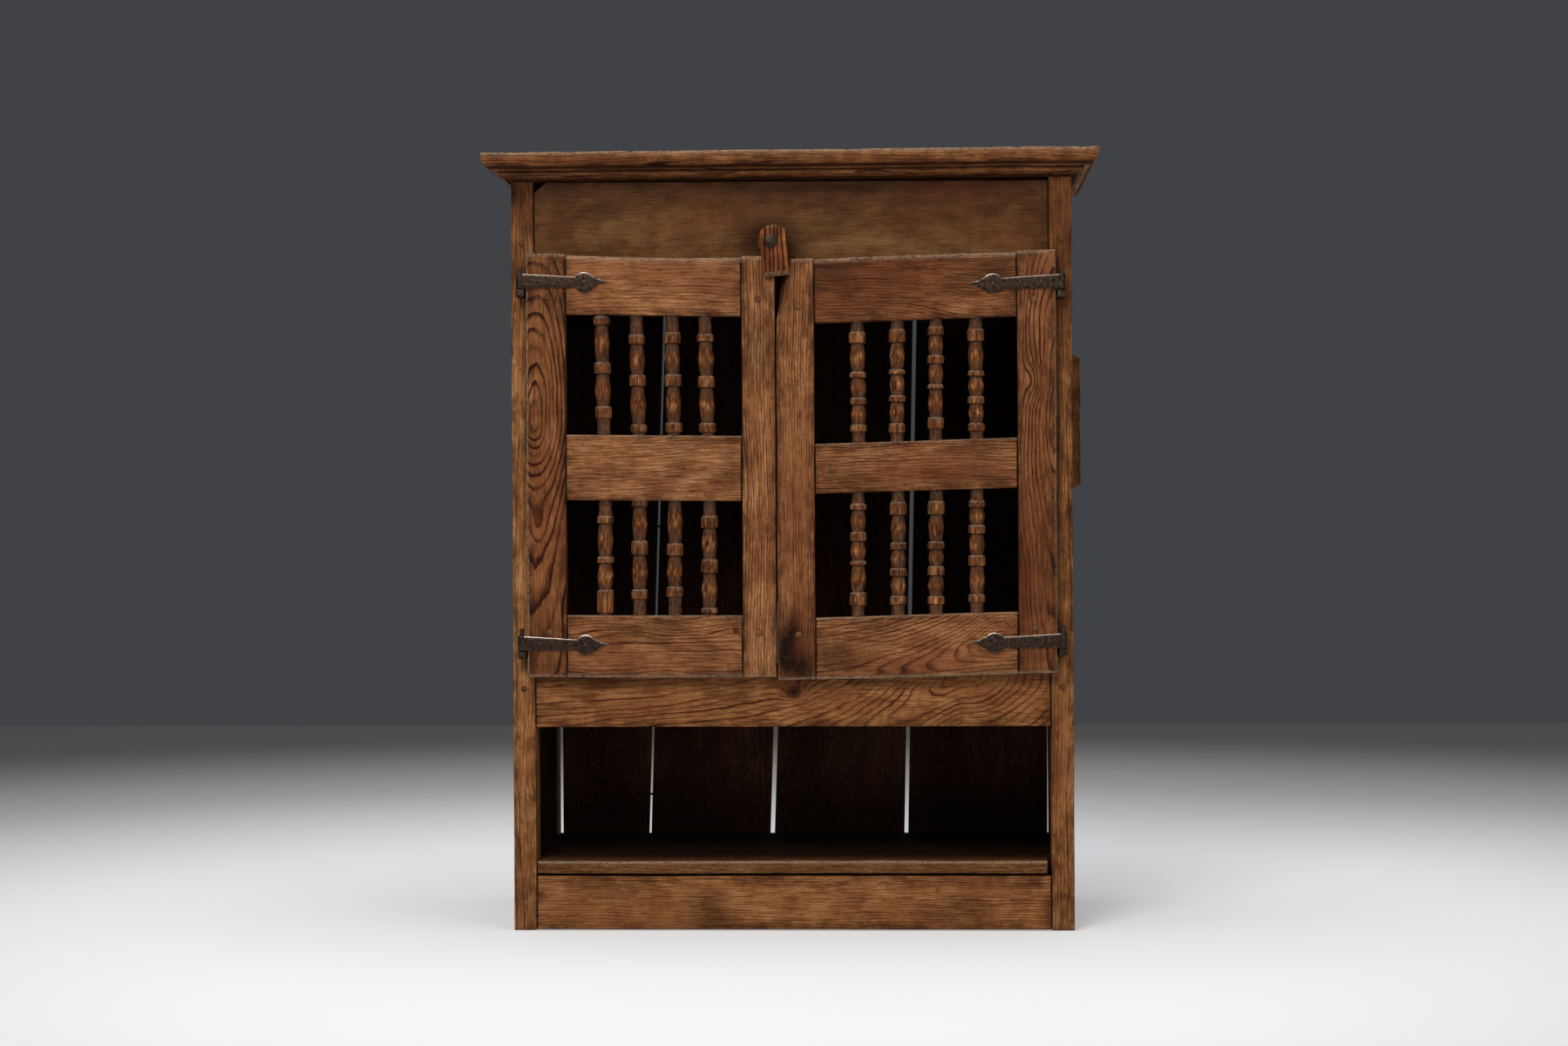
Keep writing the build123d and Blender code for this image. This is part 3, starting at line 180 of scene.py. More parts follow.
def pine(name, early, late, contrast=1.0, gloss=0.0, grime=0.35, holes=1.0, streak=1.0):
    """Old waxed pine, sawn and hand planed.

    The growth rings come from each board's own ring count, so the eye reads cathedrals, knots and
    straight grain board by board. Earlywood has sunk and latewood stands proud, the wax has gone dull
    in patches, and dirt lies in joints, pores and beetle holes. Real rings are 1 to 3 mm wide and pores
    a tenth of that: both are drawn two to three times coarser, so that they show.
    """
    colours = bpy.context.scene.trastero_colours
    material, tree, shader = new_material(name)
    add = partial(add_node, tree)
    fibre, ring, marks, finish = (add("ShaderNodeAttribute", attribute_name=name).outputs
                                  for name in ("fibre", "ring", "marks", "finish"))
    fibre, ring = fibre["Vector"], ring["Fac"]
    near, dirt_and_shade, knot = add("ShaderNodeSeparateXYZ", {0: marks["Vector"]}).outputs
    tone, red, dust_and_highlight = add("ShaderNodeSeparateXYZ", {0: finish["Vector"]}).outputs

    wobble = texture(tree, fibre, (150, 44, 44), 2.0)
    jitter = texture(tree, fibre, (34, 7, 7), 2.0)
    count = add("MULTIPLY_ADD", wobble, 1.5, ring)
    count = add("MULTIPLY_ADD", jitter, 0.45, count)
    phase = add("FRACT", count)
    year = add("FLOOR", count)
    strength = add("ShaderNodeTexWhiteNoise", {"W": year}, noise_dimensions="1D").outputs[0]
    band = add("MULTIPLY", add("STEP", phase, 0.50, 0.86), add("STEP", phase, 0.92, 1.0, 1.0, 0.0))
    band = add("MULTIPLY", band, add("MULTIPLY_ADD", strength, 0.85, 0.30))
    cover = add("STEP", texture(tree, fibre, (150, 40, 40), 2.0, shift=3.1), 0.32, 0.60, 0.45, 1.0)
    bold = add("ShaderNodeAttribute", attribute_name="bold").outputs["Fac"]
    bold = add("MULTIPLY", bold, contrast)
    band = add("MULTIPLY", band, add("MULTIPLY", cover, bold), use_clamp=True)

    fine = texture(tree, fibre, (44, 2.6, 2.6), 4.0, 0.74, 7.7)
    hair = texture(tree, fibre, (20, 1.9, 1.9), 2.0, 0.6, 31.0)
    nick = texture(tree, fibre, (15, 3.0, 3.0), 3.0, 0.6, 43.0)
    mottle = texture(tree, fibre, (46, 30, 30), 7.0, 0.66, 12.3)
    broad = texture(tree, fibre, (190, 62, 62), 3.0, 0.5, 21.9)
    speck = texture(tree, fibre, (7, 4.5, 4.5), 5.0, 0.72, 51.0)

    wood = add("MIX", band, early, late)
    rub = add("MULTIPLY_ADD", add("STEP", broad, 0.50, 0.70), 0.35, red)
    rub = add("MULTIPLY", rub, add("STEP", mottle, 0.35, 0.62, 0.35, 1.0), use_clamp=True)
    wood = add("MIX", add("MULTIPLY", rub, 0.8), wood, colours.red)
    wood = add("MIX", add("STEP", broad, 0.46, 0.28, 0.0, 0.45), wood, colours.olive)
    shade = add("STEP", fine, 0.38, 0.62, -0.36 * streak, 0.34 * streak)
    shade = add("MULTIPLY_ADD", shade, add("STEP", broad, 0.62, 0.42, 0.5, 1.1), 0.84)
    shade = add("MULTIPLY", shade, add("STEP", hair, 0.57, 0.66, 1.0, 1.0 - 0.45 * streak))
    shade = add("MULTIPLY", shade, add("STEP", nick, 0.66, 0.72, 1.0, 1.0 + 0.45 * streak))
    shade = add("MULTIPLY", shade, add("STEP", mottle, 0.32, 0.68, 0.56, 1.22))
    shade = add("MULTIPLY", shade, tone)
    wood = add("MIX", 1.0, wood, warm_shade(tree, shade), blend_type="MULTIPLY")

    # Darkening toward grime: dirt in joints, pores and hollows, and painted shade inside the cupboard, on the
    # cornice and in the spindles' necks.
    patchy = add("STEP", mottle, 0.62, 0.40, 0.25, 1.0)
    rim = add("MULTIPLY", add("STEP", near, 20.0, 1.0), add("MULTIPLY", patchy, 0.5))
    dirt = add("MULTIPLY", add("STEP", speck, 0.54, 0.74), grime)
    soil_and_shade = add("MULTIPLY", dirt_and_shade, add("STEP", speck, 0.25, 0.65, 0.70, 1.25), use_clamp=True)
    hollow = add("MULTIPLY", add("STEP", near, 3.2, 0.6), add("STEP", speck, 0.40, 0.66, 0.0, 0.55))
    dirt = add("MAXIMUM", add("MAXIMUM", dirt, rim), add("MAXIMUM", soil_and_shade, hollow))
    wood = add("MIX", dirt, wood, colours.grime)
    wood = add("MIX", add("STEP", knot, 0.12, 0.42, 0.0, 0.85), wood, late)
    wood = add("MIX", add("STEP", knot, 0.62, 0.78), wood, colours.grime)

    # Beetle holes, 1.6 mm wide, in loose clusters.
    cells = add("ShaderNodeVectorMath", {0: fibre, 1: (1 / 13, 1 / 13, 1 / 13)},
                     operation="MULTIPLY").outputs[0]
    bore = add("ShaderNodeTexVoronoi", {"Vector": cells, "Scale": 1.0}).outputs["Distance"]
    cluster = add("STEP", texture(tree, fibre, (120, 60, 60), 1.0, 0.5, 63.0), 0.50, 0.60)
    hole = add("MULTIPLY", add("STEP", bore, 0.085, 0.060), add("MULTIPLY", cluster, holes))
    wood = add("MIX", hole, wood, colours.grime)

    # Dusty grey wax and bruised end grain on worn edges; on upper arrises the same pale colour is a painted
    # highlight.
    chalk_and_highlight = add("MULTIPLY", dust_and_highlight, add("STEP", speck, 0.38, 0.58, 0.15, 1.0), use_clamp=True)
    wood = add("MIX", add("MULTIPLY", chalk_and_highlight, 0.62), wood, colours.dust_and_sheen)

    tree.links.new(wood, shader.inputs["Base Color"])
    shader.inputs["Specular IOR Level"].default_value = 0.10
    rough = add("MULTIPLY_ADD", speck, 0.35, 0.36 - gloss)
    rough = add("MULTIPLY_ADD", dirt, 0.2, rough)
    rough = add("MULTIPLY_ADD", dust_and_highlight, 0.2, rough, use_clamp=True)
    tree.links.new(rough, shader.inputs["Roughness"])
    relief = add("MULTIPLY_ADD", band, 0.20, add("MULTIPLY", fine, 0.45))
    relief = add("MULTIPLY_ADD", mottle, 0.6, relief)
    relief = add("MULTIPLY_ADD", add("STEP", hair, 0.52, 0.70), -0.2, relief)
    relief = add("MULTIPLY_ADD", hole, -1.2, relief)
    relief = add("MULTIPLY_ADD", add("MULTIPLY", speck, dust_and_highlight), 1.2, relief)
    bump = add("ShaderNodeBump", {"Strength": 1.0, "Distance": MM, "Height": relief})
    tree.links.new(bump.outputs[0], shader.inputs["Normal"])
    return material


def forged_iron(name):
    """Wrought iron, hammered and waxed: dark scale in the hollows, rubbed brighter on high spots, and painted
    highlights along the straps' upper edges.
    """
    colours = bpy.context.scene.trastero_colours
    material, tree, shader = new_material(name)
    add = partial(add_node, tree)
    place = add("ShaderNodeTexCoord").outputs["Object"]
    place = add("ShaderNodeVectorMath", {0: place, 1: (1000.0, 1000.0, 1000.0)},
                     operation="MULTIPLY").outputs[0]
    hammered = texture(tree, place, (9, 9, 9), 2.0)
    scale = texture(tree, place, (5.0, 5.0, 5.0), 4.0, 0.7, 5.0)
    wear = add("ShaderNodeAttribute", attribute_name="wear").outputs["Fac"]
    bare = add("ADD", add("MULTIPLY", add("STEP", scale, 0.36, 0.64), 0.9), wear, use_clamp=True)
    tint = add("MIX", bare, colours.iron_dark, colours.iron)
    tint = add("MIX", add("STEP", wear, 0.45, 0.95), tint, colours.iron_worn_glint)
    tree.links.new(tint, shader.inputs["Base Color"])
    shader.inputs["Metallic"].default_value = 1.0
    rough = add("SUBTRACT", add("MULTIPLY_ADD", scale, 0.30, 0.36),
                 add("MULTIPLY", wear, 0.12))
    tree.links.new(rough, shader.inputs["Roughness"])
    relief = add("MULTIPLY_ADD", hammered, 0.7, add("MULTIPLY", scale, 0.22))
    bump = add("ShaderNodeBump", {"Strength": 1.0, "Distance": MM, "Height": relief})
    tree.links.new(bump.outputs[0], shader.inputs["Normal"])
    return material


def painted_floor(name):
    """Matt emulsion on a studio floor, pale and without gloss, with painted light: darker paint far from the
    cupboard, and a glow for the camera near it.
    """
    colours = bpy.context.scene.trastero_colours
    material, tree, shader = new_material(name)
    add = partial(add_node, tree)
    place = add("ShaderNodeTexCoord").outputs["Object"]
    cloud = add("ShaderNodeTexNoise", {"Vector": place, "Scale": 1.5, "Detail": 2.0}).outputs[0]
    tint = add("MIX", add("MULTIPLY", cloud, 0.06), colours.floor, linear("B8B8B8"))
    reach = add("ShaderNodeVectorMath", {0: place}, operation="LENGTH").outputs["Value"]
    # Painted falloff of the light: the floor's colour darkens away from the cupboard.
    far = add("STEP", reach, 1.9, 4.3)
    tint = add("MIX", add("MULTIPLY", far, 0.9), tint, linear("4A4B4D"))
    tree.links.new(tint, shader.inputs["Base Color"])
    shader.inputs["Roughness"].default_value = 0.85
    # Painted pool of light: near the cupboard the floor glows for the camera.
    seen = add("ShaderNodeLightPath").outputs["Is Camera Ray"]
    lift = add("STEP", reach, 1.0, 2.6, 0.30, 0.0)
    tree.links.new(add("MULTIPLY", seen, lift), shader.inputs["Emission Strength"])
    shader.inputs["Emission Color"].default_value = linear("F4F6F8")
    return material


def make_materials():
    """Fill MATERIALS, one material for each slot."""
    colours = bpy.context.scene.trastero_colours
    MATERIALS.update({
        "carcass_pine": pine("waxed pine, posts and rails", colours.early, colours.late, 0.9),
        "rail_pine": pine("waxed pine, top rail", linear("6C4A29"), linear("2C180A"), 0.28, grime=0.3,
                          holes=0.5, streak=0.5),
        "board_pine": pine("sawn pine, dark boards", linear("6A4A30"), linear("2A170C"), 0.7, grime=0.5,
                           holes=0.6),
        "door_pine": pine("waxed pine, doors", linear("A06E47"), linear("3E1706"), 1.0, gloss=0.04),
        "spindle_pine": pine("carved pine, spindles", linear("94623A"), linear("34170A"), 1.2, grime=0.3,
                             holes=0.3, streak=1.5),
        "peg_wood": pine("whittled pegs", linear("8A6648"), linear("4A2E1A"), 0.5, grime=0.5, holes=0.0),
        "button_pine": pine("carved pine, button", linear("B8743F"), linear("280E05"), 1.4, gloss=0.05,
                            streak=0.9),
        "forged_iron": forged_iron("forged iron, waxed"),
    })


# --- Grain and wear --------------------------------------------------------------------------------
@dataclass
class Grain:
    """How a board was cut from its log (mm): where the heart ran and how the rings are spaced."""

    pith: float = 0.0           # heart line, across, in frame coordinates
    depth: float = 70.0         # heart below the face
    year: float = 4.0           # ring width
    sway: float = 5.0           # sideways wander of the heart
    lift: float = 14.0          # wander of its depth
    # Cathedral: its place along the board, then the slopes before and after it, the roundness of its
    # tip, and how deep each slope may take the heart.
    crown: tuple = (0.0, 0.0, 0.0, 1.0, 1.0, 1.0)
    slant: float = 0.0          # how fast the heart drops before the cathedral
    wave: float = 0.5           # small ripples, in rings
    knots: tuple = ()           # (along, across, length, width, rings)


@dataclass
class Look:
    """What use has done to a board, and the light and shade painted on it."""

    tone: float = 1.0           # 1 is the bare wood's own brightness
    red: float = 0.0            # share of old red varnish
    dirt_and_shade: float = 0.0          # share of dirt and painted shade all over
    patches: tuple = ()         # (along, across, length, width, tone, red, dirt and shade), where tone and dirt also paint shade
    knots: tuple = ()           # (along, across, radius) of dark knots
    chip: float = 1.0           # how battered the arrises are
    fine: bool = True           # a face that shows, with the fine mesh step
    inner_dark: float = 0.0     # dirt and painted shade on the side away from the face
    bold: float = 1.0           # how strongly the latewood shows
    step: float = 0.0           # mesh step in mm where the usual one is too coarse
    joints: tuple = ()          # which of the lower, right, upper and left edges butt on a neighbour


def rail_look(**settings):
    """A look for a rail, whose left and right ends butt on its neighbours."""
    return Look(joints=("left", "right"), **settings)


SLANT_REACH = 200.0         # mm over which a slanting heart levels out again
SLANT_ONSET = 25.0          # mm over which its slant sets in
HEART_WANDER = 230.0, 300.0     # mm between the bends of the heart, sideways and in depth
RIPPLE = 85.0, 26.0         # mm between small ripples, along and across the grain
SHADE_DEPTH = 16.0          # mm behind the face where the inner darkening is full
SEED_STEPS = 731.0, 97.0, 13.0  # mm by which each seed moves a board through the pattern
BLACK_JOINT = 0.0, 1.0, 0.0     # marks of a joint that is black with dirt
NOISE_SEED = 7              # Blender seeds its vector noise from the clock; this makes every run the same


def wave_of(value, length, seed):
    """A slow wander between -1 and 1."""
    return noise.noise(Vector((value / length + seed * 3.17, seed * 1.31, 0.37)))


def ring_count(grain, along, across, deep, seed):
    """How many rings lie between the log's heart and a point of the board."""
    centre, before, after, roundness, limit_before, limit_after = grain.crown
    slope, limit = (before, limit_before) if along < centre else (after, limit_after)
    reach = slope * (math.hypot(along - centre, roundness) - roundness)
    rise = reach * limit / (reach + limit) if reach else 0.0
    ahead = math.hypot(max(0.0, centre - along), SLANT_ONSET) - SLANT_ONSET
    fall = grain.slant * SLANT_REACH * (1 - math.exp(-ahead / SLANT_REACH))
    heart = grain.pith + grain.sway * wave_of(along, HEART_WANDER[0], seed) - fall
    below = grain.depth + deep + rise + grain.lift * wave_of(along, HEART_WANDER[1], seed + 7.0)
    rings = math.hypot(across - heart, below) / grain.year
    ripple = Vector((along / RIPPLE[0] + seed, across / RIPPLE[1], deep / RIPPLE[1]))
    rings += grain.wave * noise.noise(ripple)
    for at, over, length, width, bulge in grain.knots:
        rings += bulge * math.exp(-((along - at) / length) ** 2 - ((across - over) / width) ** 2)
    return rings


def layers(bm):
    """The wood's attributes: rings, fibre place, (nearness, dirt and painted shade, knot), (tone with painted
    light and shade, red, dusty wax and painted highlight), contrast.
    """
    return (bm.verts.layers.float.new("ring"), bm.verts.layers.float_vector.new("fibre"),
            bm.verts.layers.float_vector.new("marks"), bm.verts.layers.float_vector.new("finish"),
            bm.verts.layers.float.new("bold"))


def write_marks(vert, store, axes, grain, look, seed, near, face, dust_and_highlight=0.0):
    """The rings, fibre direction, dirt and painted shade, and colour of one point, `near` mm from the closest
    arris.
    """
    ring, fibre, marks, finish, bold = store
    along, across, deep = (vert.co[axis] / MM for axis in axes)
    depth = abs(deep - face)
    tone, red, dirt_and_shade = look.tone, look.red, look.dirt_and_shade + look.inner_dark * min(1.0, depth / SHADE_DEPTH)
    for at, over, length, width, more_tone, more_red, more_dirt_and_shade in look.patches:
        share = math.exp(-((along - at) / length) ** 2 - ((across - over) / width) ** 2)
        tone += more_tone * share
        red += more_red * share
        dirt_and_shade += more_dirt_and_shade * share
    knot = 0.0
    for at, over, radius in look.knots:
        knot = max(knot, 1.0 - math.hypot(along - at, 1.25 * (across - over)) / (1.6 * radius))
    vert[ring] = ring_count(grain, along, across, depth, seed)
    vert[fibre] = tuple(place + seed * step for place, step in zip((along, across, deep), SEED_STEPS))
    vert[marks] = (near, min(max(dirt_and_shade, 0.0), 1.0), max(knot, 0.0))
    vert[finish] = (tone, min(max(red, 0.0), 1.0), dust_and_highlight)
    vert[bold] = look.bold


def piece_from(bm, name, body, nodes, slot, crease=None):
    """An object that rides its body; edges sharper than `crease` degrees stay crisp."""
    bmesh.ops.recalc_face_normals(bm, faces=bm.faces[:])
    if crease:
        for edge in bm.edges:
            edge.smooth = edge.calc_face_angle(0.0) < math.radians(crease)
    mesh = bpy.data.meshes.new(name)
    bm.to_mesh(mesh)
    bm.free()
    for polygon in mesh.polygons:
        polygon.use_smooth = True
    mesh.materials.append(MATERIALS[slot])
    made = bpy.data.objects.new(name, mesh)
    bpy.context.scene.collection.objects.link(made)
    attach(made, body)
    if nodes:
        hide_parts(*nodes)
    return made


def join(parts):
    """One bmesh from several."""
    whole = parts[0]
    for other in parts[1:]:
        mesh = bpy.data.meshes.new("joined")
        other.to_mesh(mesh)
        other.free()
        whole.from_mesh(mesh)
        bpy.data.meshes.remove(mesh)
    return whole


# --- Boards ----------------------------------------------------------------------------------------
DENTS = 0.021, 0.008        # m between the larger and the smaller dents of an arris
DENT_ONSET, DENT_REACH = 0.18, 1.8      # share of the noise that leaves none; mm that dents reach inward
PLANING = 0.11, 0.031       # m between the larger and the smaller marks of the plane
DRIFT_LENGTH = 0.19         # m between the bends of a hand-cut edge
THROUGH_STEP = 6.0          # mm, mesh step through a board's thickness
DUST_AND_HIGHLIGHT_START, DUST_SLOPE, FACE_SHARE = 0.15, 0.55, 0.25


def cut_along(bm, axis, step):
    """Cut every edge that runs along an axis into steps."""
    edges = [edge for edge in bm.edges
             if abs(edge.verts[0].co[axis] - edge.verts[1].co[axis]) > 0.9999 * edge.calc_length()]
    length = max(edge.calc_length() for edge in edges)
    cuts = int(round(length / step)) - 1
    if cuts > 0:
        bmesh.ops.subdivide_edges(bm, edges=edges, cuts=cuts)


def round_off(bm, edges, radius, segments=2):
    """Round edges to a radius in metres."""
    bmesh.ops.bevel(bm, geom=edges, offset=radius, offset_type="OFFSET", segments=segments, profile=0.5,
                    affect="EDGES", material=-1)


def turned(outline, steps):
    """A solid spun about Z from its (radius, height) points in mm."""
    bm = bmesh.new()
    line = [bm.verts.new((radius * MM, 0.0, height * MM)) for radius, height in outline]
    edges = [bm.edges.new(pair) for pair in zip(line, line[1:])]
    bmesh.ops.spin(bm, geom=line + edges, cent=(0, 0, 0), axis=(0, 0, 1), angle=2 * math.pi, steps=steps,
                   use_merge=True, use_duplicate=False)
    bmesh.ops.remove_doubles(bm, verts=bm.verts[:], dist=1e-6)
    return bm


def rectangle(x0, x1, z0, z1):
    return ((x0, z0), (x1, z0), (x1, z1), (x0, z1))


def board(corners, low, high, flat, deep, along, grain, look, seed, face=None, bows=(0, 0, 0, 0),
          carve=None, dust_and_highlight_ends=(0, 0, 0, 0)):
    """A worn board as a bmesh.

    `corners` are its outline in the two `flat` axes, counter-clockwise from the lower left; `low` and
    `high` bound it along the `deep` axis, and `face` is the one that shows. `bows` curve the lower,
    right, upper and left edges, `carve` moves points of the outline, and the last argument gives the
    heights of the pale chamfers along the four edges, dusty, and on upper edges also painted highlights.
    """
    sizes = bpy.context.scene.trastero_sizes
    round_edge = sizes.edge_round
    step = look.step * MM or (sizes.fine_step if look.fine else sizes.coarse_step)
    face = low if face is None else face
    outward = 1 if face == low else -1
    (p0, q0), (p1, q1), (p2, q2), (p3, q3) = [(p * MM, q * MM) for p, q in corners]
    width = (abs(p1 - p0) + abs(p2 - p3)) / 2
    height = (abs(q3 - q0) + abs(q2 - q1)) / 2
    across = flat[1] if along == flat[0] else flat[0]
    span = [0.0, 0.0, 0.0]
    span[flat[0]], span[flat[1]], span[deep] = width, height, (high - low) * MM
    bm = bmesh.new()
    bmesh.ops.create_cube(bm, size=1.0)
    for vert in bm.verts:
        vert.co = Vector([(vert.co[i] + 0.5) * span[i] for i in range(3)])
    round_off(bm, bm.edges[:], round_edge)
    cut_along(bm, along, step)
    cut_along(bm, across, step)
    cut_along(bm, deep, max(step, THROUGH_STEP * MM))
    store = layers(bm)
    for vert in bm.verts:
        # The cuts crowd toward the arrises, where the dents need them.
        place = [vert.co[i] for i in range(3)]
        gaps = []
        for i in range(3):
            inner = span[i] - 2 * round_edge
            share = (place[i] - round_edge) / inner
            if 0.0 < share < 1.0:
                place[i] = round_edge + inner * (share - 0.5 * math.sin(2 * math.pi * share) / (2 * math.pi))
            gaps.append(min(place[i], span[i] - place[i]))
        near = sorted(gaps)[1]
        u, v, w = place[flat[0]] / width, place[flat[1]] / height, place[deep] / span[deep]
        p = (1 - v) * ((1 - u) * p0 + u * p1) + v * ((1 - u) * p3 + u * p2)
        q = (1 - v) * ((1 - u) * q0 + u * q1) + v * ((1 - u) * q3 + u * q2)
        q += MM * (bows[0] * 4 * u * (1 - u) * (1 - v) + bows[2] * 4 * u * (1 - u) * v)
        p += MM * (bows[1] * 4 * v * (1 - v) * u + bows[3] * 4 * v * (1 - v) * (1 - u))
        depth_share = w if outward == 1 else 1 - w
        if carve:
            dp, dq = carve(u, v, depth_share, p / MM, q / MM)
            p += dp * MM
            q += dq * MM
        r = low * MM + w * span[deep]

        # Dusty chamfers, which on upper edges are also painted highlights: a lower, right or left one shows
        # only near the face.
        dust_and_highlight = 0.0
        reaches = (v * height, (1 - u) * width, (1 - v) * height, u * width)
        for index, (reach, tall) in enumerate(zip(reaches, dust_and_highlight_ends)):
            if tall and reach < tall * MM and (index == 2 or depth_share < FACE_SHARE):
                share = 1 - reach / (tall * MM)
                dust_and_highlight = max(dust_and_highlight, min(1.0, DUST_AND_HIGHLIGHT_START + share))
                if depth_share < 0.5:
                    r += outward * share * DUST_SLOPE * tall * MM * (1 - depth_share)
        co = Vector((0.0, 0.0, 0.0))
        co[flat[0]], co[flat[1]], co[deep] = p, q, r

        hit = noise.noise(co / DENTS[0] + Vector((seed, 0, seed))) + 0.5 * noise.noise(co / DENTS[1])
        chip = sizes.edge_chip * look.chip * max(0.0, hit - DENT_ONSET) * math.exp(-near / (DENT_REACH * MM))
        uneven = noise.noise(co / PLANING[0] + Vector((0, seed, 0))) + 0.35 * noise.noise(co / PLANING[1])
        if look.fine:
            # The same slow wander for every board, so that neighbours keep their joint.
            slow = noise.noise_vector(co / DRIFT_LENGTH)
            co += Vector((slow.x, 0.0, slow.z)) * sizes.drift
        if gaps[deep] < 2 * round_edge:
            co[deep] += (1 if w < 0.5 else -1) * sizes.hollow * (0.5 + uneven)
        centre = Vector((0.0, 0.0, 0.0))
        lengthwise = abs(u - 0.5) * width > abs(v - 0.5) * height
        centre[flat[0]] = (p0 + p1 + p2 + p3) / 4 if lengthwise else p
        centre[flat[1]] = q if lengthwise else (q0 + q1 + q2 + q3) / 4
        centre[deep] = (low + high) / 2 * MM
        pull = centre - co
        if pull.length > 0:
            co += pull.normalized() * chip
        vert.co = co
        write_marks(vert, store, (along, across, deep), grain, look, seed, near / MM, face, dust_and_highlight)
        if any(side in look.joints and reach <= 1.05 * round_edge
               for side, reach in zip(("lower", "right", "upper", "left"), reaches)):
            vert[store[2]] = BLACK_JOINT
    return bm


# --- Carcass ---------------------------------------------------------------------------------------
# The first patch of each post darkens its top under the cornice: painted shade.
FRONT_POSTS = {
    "left": (
        Grain(pith=-520, depth=50, year=5.0, sway=6, lift=22),
        Look(tone=1.42, patches=(
            (1190, -430, 72, 60, -1.0, 0, 0.15), (1195, -448, 24, 10, -0.2, 0, 0.6),
            (785, -434, 18, 18, -0.2, 0, 0.35), (60, -434, 70, 30, -0.12, 0.1, 0.3),
            (1090, -434, 120, 30, -0.15, 0.1, 0.2), (430, -434, 14, 30, -0.1, 0, 0.3),
            (760, -428, 340, 5, -0.35, 0, 0.55), (200, -434, 190, 60, -0.3, 0.15, 0)))),
    "right": (
        Grain(pith=520, depth=50, year=4.8, sway=6),
        Look(tone=0.92, patches=(
            (1190, 440, 90, 60, -0.3, 0, 0.15), (1040, 440, 130, 20, -0.22, 0.1, 0.3),
            (466, 436, 25, 12, -0.3, 0, 0.5), (60, 434, 60, 30, -0.1, 0, 0.15),
            (300, 434, 120, 30, 0.1, 0.1, 0), (760, 429, 340, 4, -0.3, 0, 0.5)))),
}


def build_posts():
    for side, word in SIDES:
        grain, look = FRONT_POSTS[word]
        x0, x1 = sorted((side * POST_INNER, side * HALF_WIDTH))
        bm = board(rectangle(x0, x1, FOOT, POST_TOP), FRONT, FRONT_POST_REAR, *FRONT_UPRIGHT, grain, look,
                   2 + side)
        piece_from(bm, f"post_front_{word}", "carcass", [f"front_post_{word}"], "carcass_pine")
        x0, x1 = sorted((side * SIDE_INNER, side * HALF_WIDTH))
        bm = board(rectangle(x0, x1, FOOT, POST_TOP), REAR_POST_FRONT, BACK, *FRONT_UPRIGHT,
                   Grain(pith=side * 500, depth=60), Look(tone=0.8, fine=False, dirt_and_shade=0.1), 5 + side,
                   face=BACK)
        piece_from(bm, f"post_rear_{word}", "carcass", [f"rear_post_{word}"], "carcass_pine")


def chipped_corner(u, v, depth, x, z):
    """The top rail's broken upper left corner."""
    over = (x + POST_INNER) + (POST_TOP - z)
    return (0.0, -max(0.0, 24.0 - over) * 0.8 if v > 0.5 else 0.0)


RAIL_END = POST_INNER - RAIL_PLAY

# Name: (corners, grain, look, seed, slot, carve).
FRONT_RAILS = {
    "top": (
        ((-RAIL_END, 1060), (RAIL_END, 1060), (RAIL_END, 1207), (-RAIL_END, 1211)),
        Grain(pith=1330, depth=90, year=4.2, sway=12, lift=30, wave=0.9),
        rail_look(tone=0.9, inner_dark=0.6, patches=(
            # The second patch darkens the rail's top under the cornice: painted shadow.
            (LATCH_X, LATCH_Z + 2, 44, 36, -0.35, 0, 0.9), (0, 1216, 900, 40, -0.55, 0, 0.25),
            (330, 1160, 160, 60, -0.16, 0.1, 0.05), (-210, 1130, 170, 40, 0.24, 0, 0),
            (-385, 1130, 46, 60, -0.14, 0, 0.12), (190, 1104, 200, 26, 0.45, 0, 0),
            (60, 1197, 120, 8, -0.15, 0, 0.3))),
        11, "rail_pine", chipped_corner),
    "middle": (
        rectangle(-RAIL_END, RAIL_END, 329, 430),
        Grain(pith=416, depth=2, year=8.5, sway=2, lift=4, crown=(278, 0.8, 0.95, 14, 80, 400), slant=1.0,
              wave=0.2, knots=((2.5, 384, 20, 15, 2.4), (-215, 335, 130, 22, -1.2))),
        rail_look(tone=0.82, bold=1.05, step=3.0, inner_dark=0.7, knots=((2.5, 384.5, 11.0),), patches=(
            (-340, 415, 70, 14, -0.2, 0, 0.45), (-100, 425, 330, 8, -0.2, 0, 0.35),
            (-150, 360, 200, 40, 0.04, 0.05, 0), (300, 350, 160, 22, 0.1, 0, 0),
            (10, 395, 40, 30, -0.1, 0.1, 0.2), (-300, 405, 60, 20, -0.1, 0, 0.2))),
        17, "carcass_pine", None),
    "plinth": (
        rectangle(-RAIL_END, RAIL_END, 2, 88),
        Grain(pith=-90, depth=60, year=4.2, sway=4, lift=16, wave=0.6),
        rail_look(tone=1.04, red=0.18, inner_dark=0.6, patches=(
            (-140, 30, 26, 40, -0.22, 0, 0.45), (-300, 70, 60, 16, -0.12, 0, 0.3),
            (250, 24, 90, 20, -0.14, 0.25, 0.2), (-20, 6, 420, 8, -0.1, 0, 0.25),
            (60, 50, 220, 30, 0.06, 0, 0), (380, 74, 50, 14, -0.1, 0, 0.2))),
        23, "carcass_pine", None),
}


def build_front_rails():
    for name, (corners, grain, look, seed, slot, carve) in FRONT_RAILS.items():
        bm = board(corners, FRONT, RAIL_REAR, *FRONT_LEVEL, grain, look, seed, carve=carve)
        piece_from(bm, f"rail_front_{name}", "carcass", [f"front_{name}_rail"], slot)


